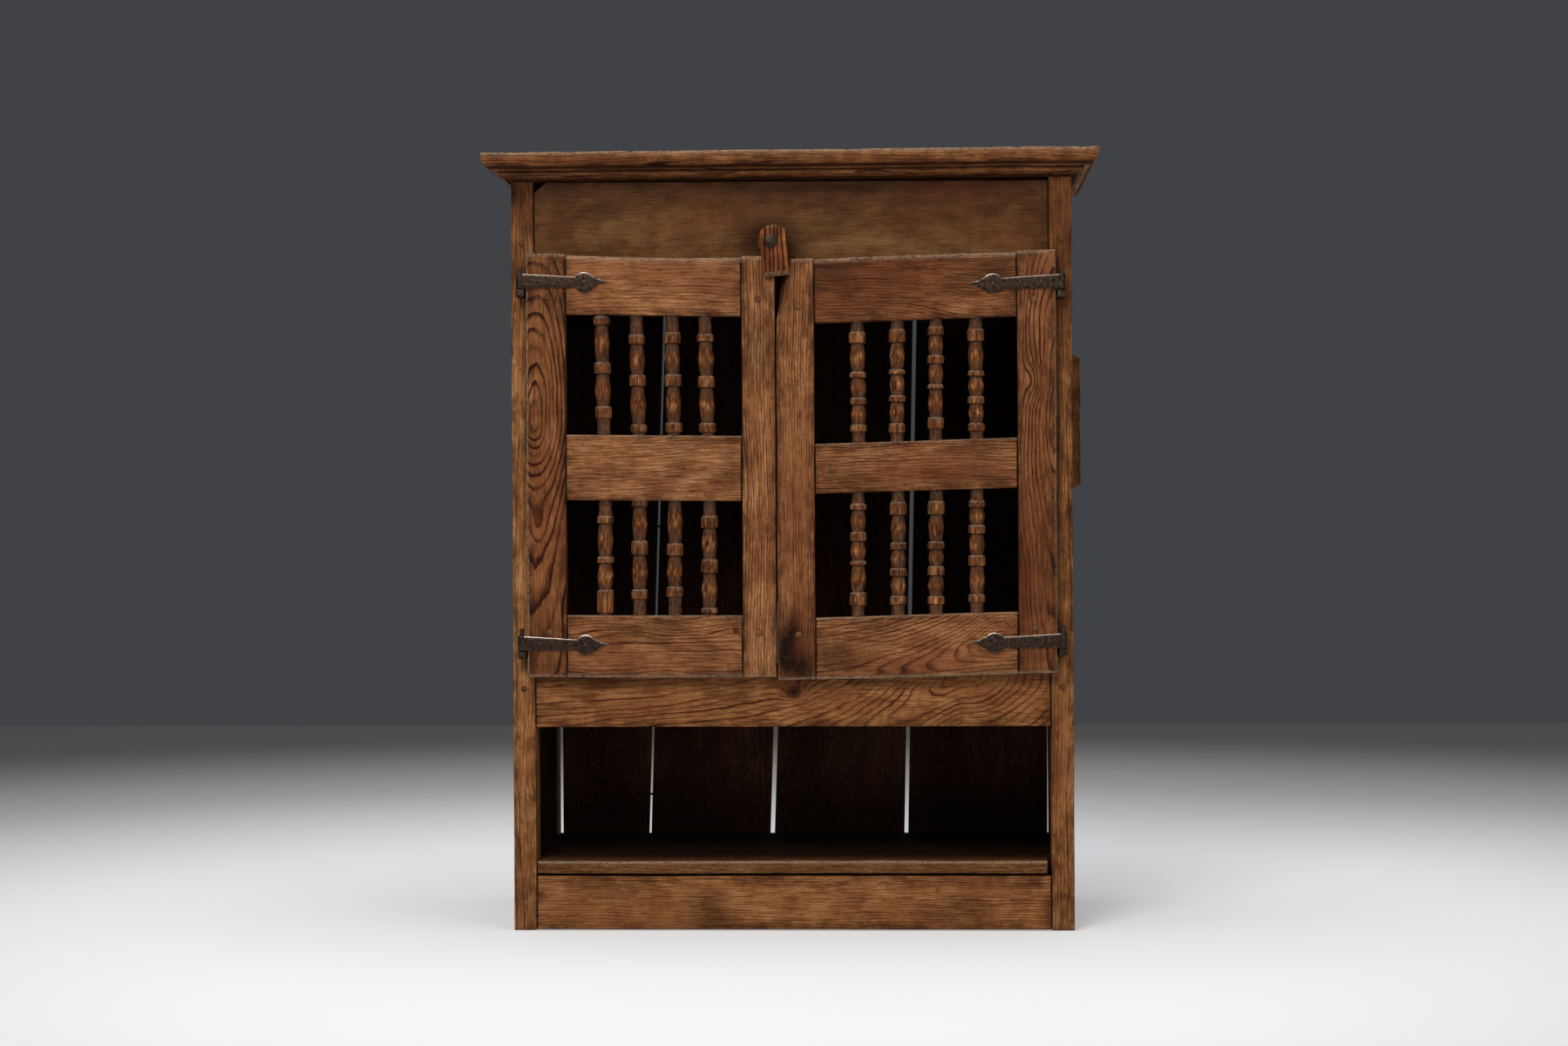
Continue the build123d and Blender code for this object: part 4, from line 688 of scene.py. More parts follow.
def build_sides():
    for side, word in SIDES:
        low, high = sorted((side * SIDE_INNER, side * HALF_WIDTH))
        parts = []
        for index, (y0, y1) in enumerate(((FRONT_POST_REAR, SIDE_SEAM), (SIDE_SEAM, REAR_POST_FRONT))):
            grain = Grain(pith=y0 + 60 + 40 * index, depth=16, year=6.0, lift=12,
                          crown=(500 + 300 * index, 0.12, 0.12, 120, 60, 60))
            look = Look(tone=0.82, fine=False, inner_dark=1.3, patches=((100, y0, 160, 200, -0.15, 0, 0.2),))
            parts.append(board(rectangle(y0 + 0.25, y1 - 0.25, 20, POST_TOP), low, high, *SIDE_UPRIGHT, grain,
                               look, 31 + index + 3 * side, face=side * HALF_WIDTH))
        piece_from(join(parts), f"sides_{word}", "carcass", [f"side_boards_{word}"], "carcass_pine")


# The daylight gaps of the back as (x at the foot, x at the head, width), and the play at its two sides.
BACK_GAPS = ((-274.0, -234.0, 4.5), (-58.0, -15.0, 8.0), (179.0, 205.0, 6.5))
BACK_FOOT, BACK_PLAY = 12.0, (6.0, 2.0)
REAR_RAIL_FRONT = 206.25
REAR_RAILS = ((22, 92), (1143, TOP_BOARD_BOTTOM))
INNER_DIRT_AND_SHADE = 0.85             # dirt and painted shade on rails, shelves and bearers inside


def build_back():
    lefts = [(-SIDE_INNER + BACK_PLAY[0], -SIDE_INNER + BACK_PLAY[0])]
    rights = []
    for foot, head, gap in BACK_GAPS:
        rights.append((foot - gap / 2, head - gap / 2))
        lefts.append((foot + gap / 2, head + gap / 2))
    rights.append((SIDE_INNER - BACK_PLAY[1], SIDE_INNER - BACK_PLAY[1]))
    for index, ((l0, l1), (r0, r1)) in enumerate(zip(lefts, rights)):
        corners = ((l0, BACK_FOOT), (r0, BACK_FOOT), (r1, TOP_BOARD_BOTTOM), (l1, TOP_BOARD_BOTTOM))
        grain = Grain(pith=(l0 + r0) / 2 + 20, depth=24, year=6.5, lift=20,
                      crown=(600, 0.1, 0.1, 150, 60, 60))
        # The two large patches darken the back toward the floor and behind the door openings: painted shade
        # inside the cupboard.
        look = Look(tone=1.75, red=0.35, fine=False, chip=0.8, inner_dark=0.5, patches=(
            (300, l0 + 60, 140, 60, -0.15, 0.1, 0.25), (130, l0 + 100, 75, 250, -1.15, 0, 0.3),
            (800, l0 + 100, 330, 250, -1.0, 0, 0.2)))
        bm = board(corners, BACK_FACE, BACK, *FRONT_UPRIGHT, grain, look, 41 + index, face=BACK)
        piece_from(bm, f"back_{index + 1}", "carcass", [f"back_board_{index + 1}"], "board_pine")
    rails = [board(rectangle(-SIDE_INNER, SIDE_INNER, z0, z1), REAR_RAIL_FRONT, BACK_FACE, *FRONT_LEVEL,
                   Grain(pith=z0 - 60), Look(tone=0.9, fine=False, dirt_and_shade=INNER_DIRT_AND_SHADE), 47)
             for z0, z1 in REAR_RAILS]
    piece_from(join(rails), "rails_rear", "carcass", ["rear_rails"], "board_pine")


def shelf_outline(inner_left, inner_right):
    """Widen a board behind the front posts, out to the sides."""
    def carve(u, v, depth, x, y):
        if y < FRONT_POST_REAR:
            return (0.0, 0.0)
        return ((2 * u - 1) * (SIDE_INNER - 0.5 - (inner_left if u < 0.5 else inner_right)), 0.0)
    return carve


# (piece, node, front edge, bottom, top, heart, tone, seed), then (top, height, rear end) of the bearers.
SHELF_HALF = 416
SHELVES = (("shelf_middle", "middle_shelf", RAIL_REAR, 329, 349, 0, 1.0, 59),
           ("shelf_upper", "upper_shelf", -173.75, 720, 738, 100, 0.9, 61))
BEARERS = ((92, 30, REAR_RAIL_FRONT), (329, 85, -75.75), (720, 40, REAR_RAIL_FRONT))
BEARER_THICKNESS = 14
FLOOR_LEFT, FLOOR_RIGHT, FLOOR_BOTTOM, FLOOR_TOP = POST_INNER - 2, POST_INNER - 7, 92, 113


def build_shelves():
    # The wide patch darkens the floor board's top inside the cupboard to grime: painted shadow; the narrow
    # one keeps its front edge light.
    look = Look(tone=0.95, red=0.1, chip=1.5, patches=((0, 60, 2000, 245, -0.6, 0, 1.6),
                                                       (0, FRONT, 2000, 12, 0.4, 0, 0)))
    floor = board(rectangle(-FLOOR_LEFT, FLOOR_RIGHT, FRONT, BACK_FACE), FLOOR_BOTTOM, FLOOR_TOP, *LYING,
                  Grain(pith=-260, depth=60, year=4.0, lift=12, wave=0.7), look, 53, face=FLOOR_TOP,
                  carve=shelf_outline(FLOOR_LEFT, FLOOR_RIGHT), dust_and_highlight_ends=(3.5, 0, 0, 0))
    piece_from(floor, "floor_worn", "carcass", ["floor_board"], "carcass_pine")
    for name, node, front, bottom, top, pith, tone, seed in SHELVES:
        bm = board(rectangle(-SHELF_HALF, SHELF_HALF, front, BACK_FACE), bottom, top, *LYING,
                   Grain(pith=pith, depth=60), Look(tone=tone, fine=False, dirt_and_shade=INNER_DIRT_AND_SHADE), seed, face=top,
                   carve=shelf_outline(SHELF_HALF, SHELF_HALF))
        piece_from(bm, name, "carcass", [node], "board_pine")
    bearers = []
    for top, height, rear in BEARERS:
        for side, _ in SIDES:
            x0, x1 = sorted((side * SIDE_INNER, side * (SIDE_INNER - BEARER_THICKNESS)))
            bearers.append(board(rectangle(FRONT_POST_REAR, rear, top - height, top - 0.3), x0, x1,
                                 *SIDE_LEVEL, Grain(pith=top), Look(fine=False, dirt_and_shade=INNER_DIRT_AND_SHADE), 67 + side))
    piece_from(join(bearers), "bearers", "carcass", ["shelf_bearers"], "board_pine")


# --- Cornice and top -------------------------------------------------------------------------------
# The moulding's outline as (inward, down from the top), clockwise from its upper outer edge.
CORNICE_PROFILE = ((0, 1.2), (1.2, 0), (20, 0), (44.5, 0), (44.5, 18), (64.5, 18), (64.5, 42), (43.5, 42),
                   (42.5, 41.6), (39.5, 41.0), (35.5, 39.6), (31.5, 37.6), (28.2, 35.0), (27.2, 33.7),
                   (26.6, 32.8), (27.6, 32.2), (27.6, 28.2), (26.5, 28.0), (22.0, 28.0), (20.5, 27.8),
                   (19.6, 27.5), (18.0, 27.2), (15.5, 26.6), (11.5, 25.0), (8.0, 22.8), (5.0, 20.2),
                   (2.6, 17.0), (1.0, 13.5), (0.1, 9.5), (-0.3, 5.5))

# Bands down the moulding as (from, to, tone, dirt and shade): face, roll, shadow, bead, quirk, arris, cove,
# foot.
# Their tones are painted light: highlights on the bead and the arris, painted shade in the shadow, quirk,
# cove and foot.
CORNICE_LIGHT_BANDS = ((0.0, 13.0, 1.0, 0.0), (13.0, 21.0, 1.05, 0.0), (21.0, 25.5, 0.5, 0.6),
                 (25.5, 27.9, 1.9, 0.0), (27.9, 32.0, 0.35, 0.9), (32.0, 34.4, 1.5, 0.0),
                 (34.4, 40.5, 0.62, 0.15), (40.5, 44.0, 0.3, 0.6))
CORNICE_X, CORNICE_Y = 495.0, -246.25       # its outer corner
CORNICE_ARRISES = ((0.4, 0.6), (20.5, 27.8), (42.5, 41.8))
CORNICE_DENTS = 0.023, 0.007
CORNICE_LOOK = Look(tone=0.76, red=0.15, bold=1.2, patches=(
    (-390, 1243, 60, 20, 0.2, 0.2, 0), (-150, 1250, 70, 10, 0.35, 0, 0), (60, 1240, 140, 20, 0.12, 0, 0),
    (-440, 1222, 26, 12, -0.1, 0.6, 0.2), (0, 1228, 600, 6, -0.2, 0, 0.3), (300, 1250, 160, 14, 0.18, 0.1, 0),
    (-300, 1235, 80, 12, -0.15, 0, 0.3)))


def cornice_bar(real_length):
    """The moulding, one millimetre long along Y, with the cuts that its real length (mm) needs.

    X is inward and Z is down from the top. Put in place, its Y is a share of the length.
    """
    bm = bmesh.new()
    outline = [bm.verts.new((i * MM, 0.0, -h * MM)) for i, h in CORNICE_PROFILE]
    face = bmesh.ops.contextual_create(bm, geom=outline)["faces"][0]
    for item in bmesh.ops.extrude_face_region(bm, geom=[face], use_keep_orig=True)["geom"]:
        if isinstance(item, bmesh.types.BMVert):
            item.co.y = MM
    cut_along(bm, Y, bpy.context.scene.trastero_sizes.fine_step / real_length)
    return bm


def cornice_marks(bm, place, grain, look, seed, axes):
    """Wear, grain, dusty wax and painted light for a moulding whose bar is put in place by `place`."""
    sizes = bpy.context.scene.trastero_sizes
    store = layers(bm)
    _, _, marks, finish, _ = store
    core = Vector((0.0, 0.0, TOTAL_HEIGHT - 16.0)) * MM
    for vert in bm.verts:
        inward, down = vert.co.x / MM, -vert.co.z / MM
        near = min(math.hypot(inward - a, down - b) for a, b in CORNICE_ARRISES)
        co = place(vert.co)
        hit = noise.noise(co / CORNICE_DENTS[0] + Vector((seed, 0, 0)))
        hit += 0.5 * noise.noise(co / CORNICE_DENTS[1])
        worn = 1.5 * sizes.edge_chip * max(0.0, hit - 0.12) * math.exp(-near / 3.0)
        level = noise.noise(co / 0.16) * 0.8 * MM + noise.noise(co / 0.045) * 0.3 * MM
        toward = Vector((0.0, 0.0, core.z - co.z))
        toward.x = -math.copysign(1.0, co.x) * 0.004 if axes[0] == Y else 0.0
        toward.y = 0.004 if axes[0] == X else 0.0
        co = co + toward.normalized() * worn
        if inward < 30:
            co.z += level
        vert.co = co
        # A pale line along the top arris: dust and a painted highlight.
        dust_and_sheen = 1.2 * math.exp(-math.hypot(inward - 0.5, down - 0.8) / 2.6)
        write_marks(vert, store, axes, grain, look, seed, max(near, 2.5), FRONT - 40, dust_and_sheen)
        tone, red, dust_and_sheen = vert[finish]
        # Each band's tone paints the moulding's highlights and shade, and its dirt value darkens the quirk
        # and the shadow as painted shade.
        for low, high, share, soil_and_shade in CORNICE_LIGHT_BANDS:
            if low <= down < high and inward < 43:
                vert[marks] = (9.0, max(soil_and_shade, vert[marks][1]), 0.0)
                vert[finish] = (share * tone, red, dust_and_sheen)


def build_cornice():
    def across_front(co):
        reach = CORNICE_X * MM - co.x
        return Vector((-reach + 2 * reach * co.y / MM, CORNICE_Y * MM + co.x, TOTAL_HEIGHT * MM + co.z))

    bar = cornice_bar(2 * CORNICE_X)
    cornice_marks(bar, across_front, Grain(pith=1190, depth=45, year=4.2, lift=10, sway=6, wave=0.8),
                  CORNICE_LOOK, 71, (X, Z, Y))
    piece_from(bar, "moulding_front", "carcass", ["cornice_front"], "carcass_pine", crease=30)
    for side, word in SIDES:
        def along_side(co, side=side):
            start = CORNICE_Y * MM + co.x
            return Vector((side * (CORNICE_X * MM - co.x), start + (BACK * MM - start) * co.y / MM,
                           TOTAL_HEIGHT * MM + co.z))

        bar = cornice_bar(492)
        cornice_marks(bar, along_side, Grain(pith=1190, depth=40, year=3.4, wave=0.8),
                      Look(tone=0.9, red=0.12), 73 + side, (Y, Z, X))
        piece_from(bar, f"moulding_{word}", "carcass", [f"cornice_{word}"], "carcass_pine", crease=30)


TOP_FRONT, TOP_BOARDS, TOP_HALF = -201.6, 3, 450.3
TOP_BOARD_WIDTH = (BACK - TOP_FRONT) / TOP_BOARDS


def build_top():
    parts = []
    for index in range(TOP_BOARDS):
        y0 = TOP_FRONT + index * TOP_BOARD_WIDTH
        grain = Grain(pith=y0 + 60, depth=20, year=6.0, crown=(100 - 200 * index, 0.12, 0.12, 120, 60, 60))
        parts.append(board(rectangle(-TOP_HALF, TOP_HALF, y0, y0 + TOP_BOARD_WIDTH - 0.6), TOP_BOARD_BOTTOM,
                           TOTAL_HEIGHT - 0.2, *LYING, grain, Look(tone=0.8, fine=False, red=0.1), 81 + index,
                           face=TOTAL_HEIGHT))
    piece_from(join(parts), "top_worn", "carcass", ["top_boards"], "carcass_pine")


# --- Doors -----------------------------------------------------------------------------------------
@dataclass
class Door:
    """The edges, rail levels and sag of a door (mm). Its far end hangs lower than its hinges."""

    side: int
    hinge_edge: float
    hinge_inner: float
    meeting_inner: float
    meeting_edge: float
    levels: tuple               # lower and upper edge of the bottom, middle and top rail, at the hinges
    sag_top: float
    sag_bottom: float
    straps: tuple
    strap_stretch: float

    def at(self, level, x):
        across = (x - self.hinge_edge) / (self.meeting_edge - self.hinge_edge)
        share = (level - self.levels[0]) / (self.levels[-1] - self.levels[0])
        return level - across * (self.sag_bottom + (self.sag_top - self.sag_bottom) * share)


DOORS = {
    "left": Door(-1, -425.5, -362.5, -77.25, -24.25, (411, 511, 697, 802.5, 997, 1092.5), 9, 1,
                 (466, 1049.75), 1.01),
    "right": Door(1, 425.5, 364.5, 38.25, -21.75, (416, 515, 714.5, 794, 988.5, 1091), 12, 11,
                  (467.5, 1041.75), 1.06),
}

DOOR_LOOKS = {
    "left_hinge_stile": (
        Grain(pith=-413, depth=1, year=6.6, sway=3, lift=3, crown=(826, 0.85, 0.25, 22, 100, 4000), wave=0.3,
              knots=((655, -405, 30, 14, -1.0),)),
        Look(tone=0.66, bold=1.6, patches=(
            (760, -395, 200, 16, 0.02, 0.1, 0), (1075, -394, 30, 40, -0.05, 0, 0.1),
            (480, -394, 50, 40, -0.12, 0.1, 0.2), (1040, -420, 30, 10, -0.2, 0, 0.5),
            (425, -394, 14, 40, -0.1, 0, 0.3)))),
    "left_meeting_stile": (
        Grain(pith=-190, depth=60, year=4.4, sway=7, lift=14, wave=0.5),
        Look(tone=1.02, patches=(
            (1035, -42, 18, 14, -0.15, 0, 0.4), (750, -28, 300, 8, -0.12, 0.1, 0.25),
            (640, -52, 180, 26, 0.05, 0, 0)))),
    "left_top_rail": (
        Grain(pith=952, depth=26, year=5.2, sway=12, lift=8, wave=0.8),
        rail_look(tone=1.06, red=0.1, bold=0.8, patches=(
            (-110, 1060, 60, 40, -0.1, 0.25, 0.1), (-250, 1040, 120, 30, 0.06, 0, 0),
            (-90, 1080, 20, 12, -0.1, 0, 0.3)))),
    "left_middle_rail": (
        Grain(pith=880, depth=36, year=5.0, sway=18, lift=14, wave=0.8),
        rail_look(tone=1.05, bold=0.8, patches=(
            (-90, 750, 26, 60, -0.2, 0, 0.3), (-200, 755, 90, 26, 0.05, 0, 0),
            (-180, 740, 30, 30, -0.08, 0, 0.22), (-350, 750, 14, 60, -0.1, 0, 0.2)))),
    "left_bottom_rail": (
        Grain(pith=560, depth=10, year=6.0, sway=16, lift=12, wave=1.0,
              knots=((-89, 486, 34, 16, 2.2), (-290, 490, 46, 20, 1.8), (-190, 500, 46, 14, -1.4))),
        rail_look(tone=0.94, red=0.2, knots=((-89.5, 486, 5.0),), patches=(
            (-150, 490, 50, 12, 0.16, -0.1, 0), (-250, 430, 160, 30, -0.06, 0.1, 0)))),
    "right_hinge_stile": (
        Grain(pith=424, depth=3, year=5.6, sway=6, lift=5, crown=(821, 0.34, 0.13, 30, 60, 4000), wave=0.4,
              knots=((882, 392, 30, 18, 2.6), (985, 385, 40, 16, -1.0))),
        Look(tone=0.68, red=0.1, bold=1.2, patches=(
            (640, 395, 190, 60, -0.09, 0.12, 0), (560, 395, 130, 50, -0.08, 0.2, 0.1),
            (1000, 380, 60, 30, 0.12, 0, 0), (1075, 395, 24, 40, 0.08, 0, 0.1),
            (870, 380, 50, 26, 0.08, 0, 0)))),
    "right_meeting_stile": (
        Grain(pith=150, depth=60, year=4.2, sway=6, lift=12, wave=0.45),
        Look(tone=0.94, patches=(
            (450, 6, 62, 44, -0.32, 0.3, 0.35), (450, -10, 40, 12, -0.25, 0.1, 0.8),
            (424, 18, 22, 20, -0.15, 0.1, 0.65), (488, 4, 22, 10, -0.15, 0.1, 0.5),
            (1040, -8, 46, 14, -0.25, 0, 0.55), (640, 10, 120, 26, -0.05, 0.25, 0.1),
            (880, 10, 90, 26, 0.06, 0, 0)))),
    "right_top_rail": (
        Grain(pith=930, depth=22, year=4.4, sway=22, lift=14, wave=0.8, knots=((330, 960, 110, 40, 2.4),)),
        rail_look(tone=0.65, red=0.34, patches=(
            (120, 1050, 110, 50, -0.14, 0.3, 0.15), (300, 1000, 110, 20, 0.16, -0.3, 0),
            (60, 1070, 40, 10, -0.1, 0, 0.4), (350, 1070, 30, 20, -0.1, 0, 0.3)))),
    "right_middle_rail": (
        Grain(pith=640, depth=40, year=4.8, sway=16, lift=16, wave=0.7),
        rail_look(tone=0.82, patches=(
            (240, 736, 80, 14, -0.1, 0.95, 0.1), (90, 770, 60, 20, 0.12, 0, 0),
            (320, 770, 60, 24, -0.14, 0, 0.15), (350, 730, 40, 14, -0.05, 0.4, 0)))),
    "right_bottom_rail": (
        Grain(pith=468, depth=2, year=5.6, sway=4, lift=4, crown=(342, 0.95, 0.95, 12, 55, 55), slant=0.5,
              wave=0.3, knots=((352, 487, 12, 10, 2.0),)),
        rail_look(tone=0.94, red=0.05, patches=(
            (70, 440, 50, 34, -0.12, 0.1, 0.5), (200, 430, 120, 12, -0.05, 0.35, 0),
            (356, 487, 14, 9, -0.05, 0.6, 0.1)))),
}

# By opening, from left to right: (x at the top, x at the bottom, rings as (low, high)) in mm.
SPINDLES = {
    "left_upper": ((-304.3, -301.1, ((828.0, 847.3), (899.5, 918.1), (978.3, 992.2))),
                   (-248.1, -244.9, ((804.8, 817.5), (879.3, 897.3), (946.7, 962.4))),
                   (-190.4, -188.3, ((804.4, 820.3), (878.2, 898.0), (947.4, 965.5))),
                   (-137.3, -133.6, ((804.0, 819.4), (876.1, 895.0), (950.1, 962.2)))),
    "left_lower": ((-299.5, -300.5, ((514.3, 551.6), (594.5, 605.0), (658.3, 670.9))),
                   (-244.0, -245.1, ((536.0, 552.1), (607.6, 630.5), (684.9, 697.1))),
                   (-187.0, -188.0, ((539.7, 556.1), (605.8, 625.8))),
                   (-131.0, -132.0, ((513.5, 522.2), (577.8, 599.9), (650.0, 669.9)))),
    "right_upper": ((107.7, 109.9, ((803.1, 815.0), (847.1, 858.3), (890.2, 899.6), (945.3, 964.0))),
                    (172.2, 171.1, ((801.0, 816.9), (851.1, 861.8), (895.0, 903.1), (946.4, 967.9))),
                    (234.1, 233.0, ((807.3, 825.9), (871.5, 878.9), (912.1, 925.6), (957.7, 972.2))),
                    (297.8, 298.6, ((803.7, 816.2), (847.3, 859.4), (891.5, 900.4), (947.2, 967.3)))),
    "right_lower": ((108.4, 107.2, ((524.4, 545.8), (589.4, 596.5), (627.9, 643.0), (677.9, 688.3))),
                    (172.6, 171.5, ((525.5, 540.1), (571.5, 584.3), (613.9, 625.9), (669.5, 690.8))),
                    (233.4, 232.3, ((526.1, 539.5), (572.3, 587.3), (614.4, 627.2), (669.9, 691.8))),
                    (298.8, 297.7, ((528.7, 542.1), (587.0, 604.3), (638.9, 653.1), (681.0, 692.2)))),
}

# (tone, red) of each spindle.
SPINDLE_TONES = {
    "left_upper": ((0.92, 0.1), (0.95, 0.1), (0.9, 0.0), (1.1, 0.0)),
    "left_lower": ((1.25, 0.1), (0.95, 0.0), (0.92, 0.0), (1.05, 0.0)),
    "right_upper": ((1.0, 0.0), (1.0, 0.2), (0.9, 0.3), (0.95, 0.3)),
    "right_lower": ((1.05, 0.1), (1.05, 0.0), (1.1, 0.0), (1.1, 0.3)),
}

DOOR_SEEDS = {"left": 100, "right": 140}
NOTCH_FOOT, NOTCH_HEIGHT, NOTCH_REACH, NOTCH_SLANT = 986.0, 94.0, 25.0, 0.62
STILE_RISE = 2.5                # how far the stiles stand above the top rail
RAIL_GAP, RAIL_SETBACK = 0.35, 0.25
OUTER_DUST = {"left": (0, 3.6), "right": (2.0, 0)}  # dusty arrises (right, left) of the hinge stiles
TOP_BOW = {"left": -2.0, "right": 1.5}
# The pale chamfers on the rails' upper edges are dust and a painted highlight; the bottom rail's lower one is
# dust.
RAIL_DUST_AND_HIGHLIGHT = {"bottom": (6.0, 0, 1.8, 0), "middle": (0, 0, 1.8, 0), "top": (0, 0, 7.5, 0)}


def notch(u, v, depth, x, z):
    """Finger notch down the right meeting stile's outer edge, cut on a slant."""
    rise = max(0.0, (z - NOTCH_FOOT) / NOTCH_HEIGHT)
    return ((1 - u) * NOTCH_REACH * rise ** 0.85 * (1.0 - NOTCH_SLANT * depth), 0.0)


def build_stiles(word, door):
    levels = door.levels
    for name, edge, inner, (dust_right, dust_left) in (
            ("hinge_stile", door.hinge_edge, door.hinge_inner, OUTER_DUST[word]),
            ("meeting_stile", door.meeting_edge, door.meeting_inner, (0, 0))):
        grain, look = DOOR_LOOKS[f"{word}_{name}"]
        x0, x1 = sorted((edge, inner))
        corners = ((x0, door.at(levels[0], x0)), (x1, door.at(levels[0], x1)),
                   (x1, door.at(levels[5], x1) + STILE_RISE), (x0, door.at(levels[5], x0) + STILE_RISE))
        bm = board(corners, DOOR_FRONT, DOOR_REAR, *FRONT_UPRIGHT, grain, look, DOOR_SEEDS[word] + len(name),
                   carve=notch if (word, name) == ("right", "meeting_stile") else None,
                   dust_and_highlight_ends=(5.0, dust_right, 6.0, dust_left))
        piece_from(bm, f"{word}_{name}", f"door_{word}", [f"door_{word}_{name}"], "door_pine")


def build_door_rails(word, door):
    ends = sorted((door.hinge_inner, door.meeting_inner))
    x0, x1 = ends[0] + RAIL_GAP, ends[1] - RAIL_GAP
    bows = {"bottom": (-1.0, 0, 0, 0), "middle": (0, 0, 0, 0), "top": (0, 0, TOP_BOW[word], 0)}
    for index, name in enumerate(("bottom", "middle", "top")):
        low, high = door.levels[2 * index], door.levels[2 * index + 1]
        grain, look = DOOR_LOOKS[f"{word}_{name}_rail"]
        corners = ((x0, door.at(low, x0)), (x1, door.at(low, x1)),
                   (x1, door.at(high, x1)), (x0, door.at(high, x0)))
        bm = board(corners, DOOR_FRONT + RAIL_SETBACK, DOOR_REAR, *FRONT_LEVEL, grain, look,
                   DOOR_SEEDS[word] + 20 + index, bows=bows[name], dust_and_highlight_ends=RAIL_DUST_AND_HIGHLIGHT[name])
        piece_from(bm, f"{word}_{name}_rail", f"door_{word}", [f"door_{word}_{name}_rail"], "door_pine")


# --- Spindles --------------------------------------------------------------------------------------
NECK, SWELL, RING, TENON = 9.7, 12.9, 13.5, 7.0     # radii
TENON_LENGTH = 9
FACETS = 8


def belly(share):
    """Swelling between two rings: one soft ridge at the middle, hollow toward both necks."""
    return (1.0 - abs(2 * share - 1.0)) ** 0.72


def spindle_profile(low, high, rings):
    """(radius, height, swelling, dust) down a spindle whose ends sit in the rails."""
    below = low - 1.0
    stations = [(0.0, low - TENON_LENGTH, 0, 0), (TENON, low - TENON_LENGTH, 0, 0), (TENON, below, 0, 0)]
    for r0, r1 in list(rings) + [(high + 1.0, None)]:
        span = r0 - below
        outer = below < low or r1 is None
        steps = max(2, int(span / 3.0))
        for k in range(steps + 1):
            share = k / steps
            if outer and span < 36:
                size = 0.22 + 0.3 * abs(2 * share - 1)
                radius = NECK + (SWELL - NECK) * size
            else:
                size = belly(share)
                radius = NECK + (SWELL - NECK) * size * min(1.0, 0.5 + span / 55)
            stations.append((radius, below + span * share, size, 0.12 * (1 - size)))
        if r1 is not None:
            # Each ring's upper arris is pale: dust and a painted highlight.
            stations += [(RING - 0.9, r0 + 0.1, 0.3, 0), (RING, r0 + 1.0, 0.6, 0),
                         (RING + 0.2, (r0 + r1) / 2, 0.7, 0), (RING, r1 - 2.7, 0.7, 0.1),
                         (RING - 0.3, r1 - 2.1, 0.6, 0.7), (RING - 1.6, r1, 0.5, 0.7)]
            below = r1
    return stations + [(TENON, high + 1.0, 0, 0), (TENON, high + TENON_LENGTH, 0, 0),
                       (0.0, high + TENON_LENGTH, 0, 0)]


def build_spindle(name, body, node, across, ends, rings, seed, tone, red):
    """A stick with turned rings whose bellies are carved flat on eight sides."""
    stations = spindle_profile(ends[0], ends[1], rings)
    bm = turned([(radius, height) for radius, height, _, _ in stations], 4 * FACETS)
    ring, fibre, marks, finish, bold = layers(bm)
    turn = seed * 1.7
    low, high = ends[0] * MM, ends[1] * MM
    on_ring = (RING - 0.3) * MM
    for vert in bm.verts:
        z = vert.co.z
        radius = math.hypot(vert.co.x, vert.co.y)
        _, _, size, dust_and_sheen = min(stations, key=lambda at: abs(at[1] * MM - z) + 0.2 * abs(at[0] * MM - radius))
        angle = math.atan2(vert.co.y, vert.co.x) if radius > 1e-6 else 0.0
        if radius > 8 * MM:
            sector = 2 * math.pi / FACETS
            local = (angle + turn + 0.25 * wave_of(z * 1000, 30, seed)) % sector - sector / 2
            facet = math.cos(sector / 2) / math.cos(local)
            cut, rough_share = (0.25, 0.014) if radius > on_ring else (0.85, 0.028)
            place = Vector((math.cos(angle) * 1.5, math.sin(angle) * 1.5, z / 0.009)) + Vector((seed, 0, 0))
            radius *= (1 - (1 - facet) * cut) * (1 + rough_share * noise.noise(place))
        share = (z - low) / (high - low)
        middle = (across[1] + (across[0] - across[1]) * min(max(share, 0), 1)) * MM
        lean = noise.noise(Vector((z / 0.06, seed, 0))) * 0.35 * MM
        x, y = math.cos(angle) * radius, math.sin(angle) * radius
        # Split from a stick: the heart lies well outside the spindle, and carving lays its rings open.
        heart = math.hypot(x * 1000 * math.cos(turn) + y * 1000 * math.sin(turn) + 26,
                           -x * 1000 * math.sin(turn) + y * 1000 * math.cos(turn)
                           + 6 * wave_of(z * 1000, 60, seed))
        flame = noise.noise(Vector((3.4 * math.cos(angle), 3.4 * math.sin(angle), z / 0.011 + 2 * seed)))
        # Tone from the flame figure, with painted light: the belly's ridge lighter, the necks darker.
        if radius > on_ring:
            flame_and_light = 0.82 + 1.5 * flame
        else:
            flame_and_light = 0.3 + 0.42 * size ** 4 + 3.0 * max(0.0, flame) * size ** 2 - 0.4 * max(0.0, -flame)
        top_shade = 0.6 * max(0.0, 1 - (high - z) / 0.014)
        vert[ring] = heart / 3.0
        vert[fibre] = (z * 1000 + seed * 311, x * 1000 + seed * 17, y * 1000 + seed * 5)
        # Dirt and painted shade darken the necks; near the upper rail the darkening is painted shade.
        vert[marks] = (30.0, min(1.0, 0.3 * (1 - size) ** 1.5 + top_shade), 0.0)
        vert[finish] = (tone * max(0.2, flame_and_light), 0.5 * red, dust_and_sheen + 0.16 * (1 - size))
        vert[bold] = 0.8
        vert.co = Vector((middle + lean + x, DOOR_MIDDLE * MM + y, z))
    piece_from(bm, name, body, [node], "spindle_pine", crease=35)


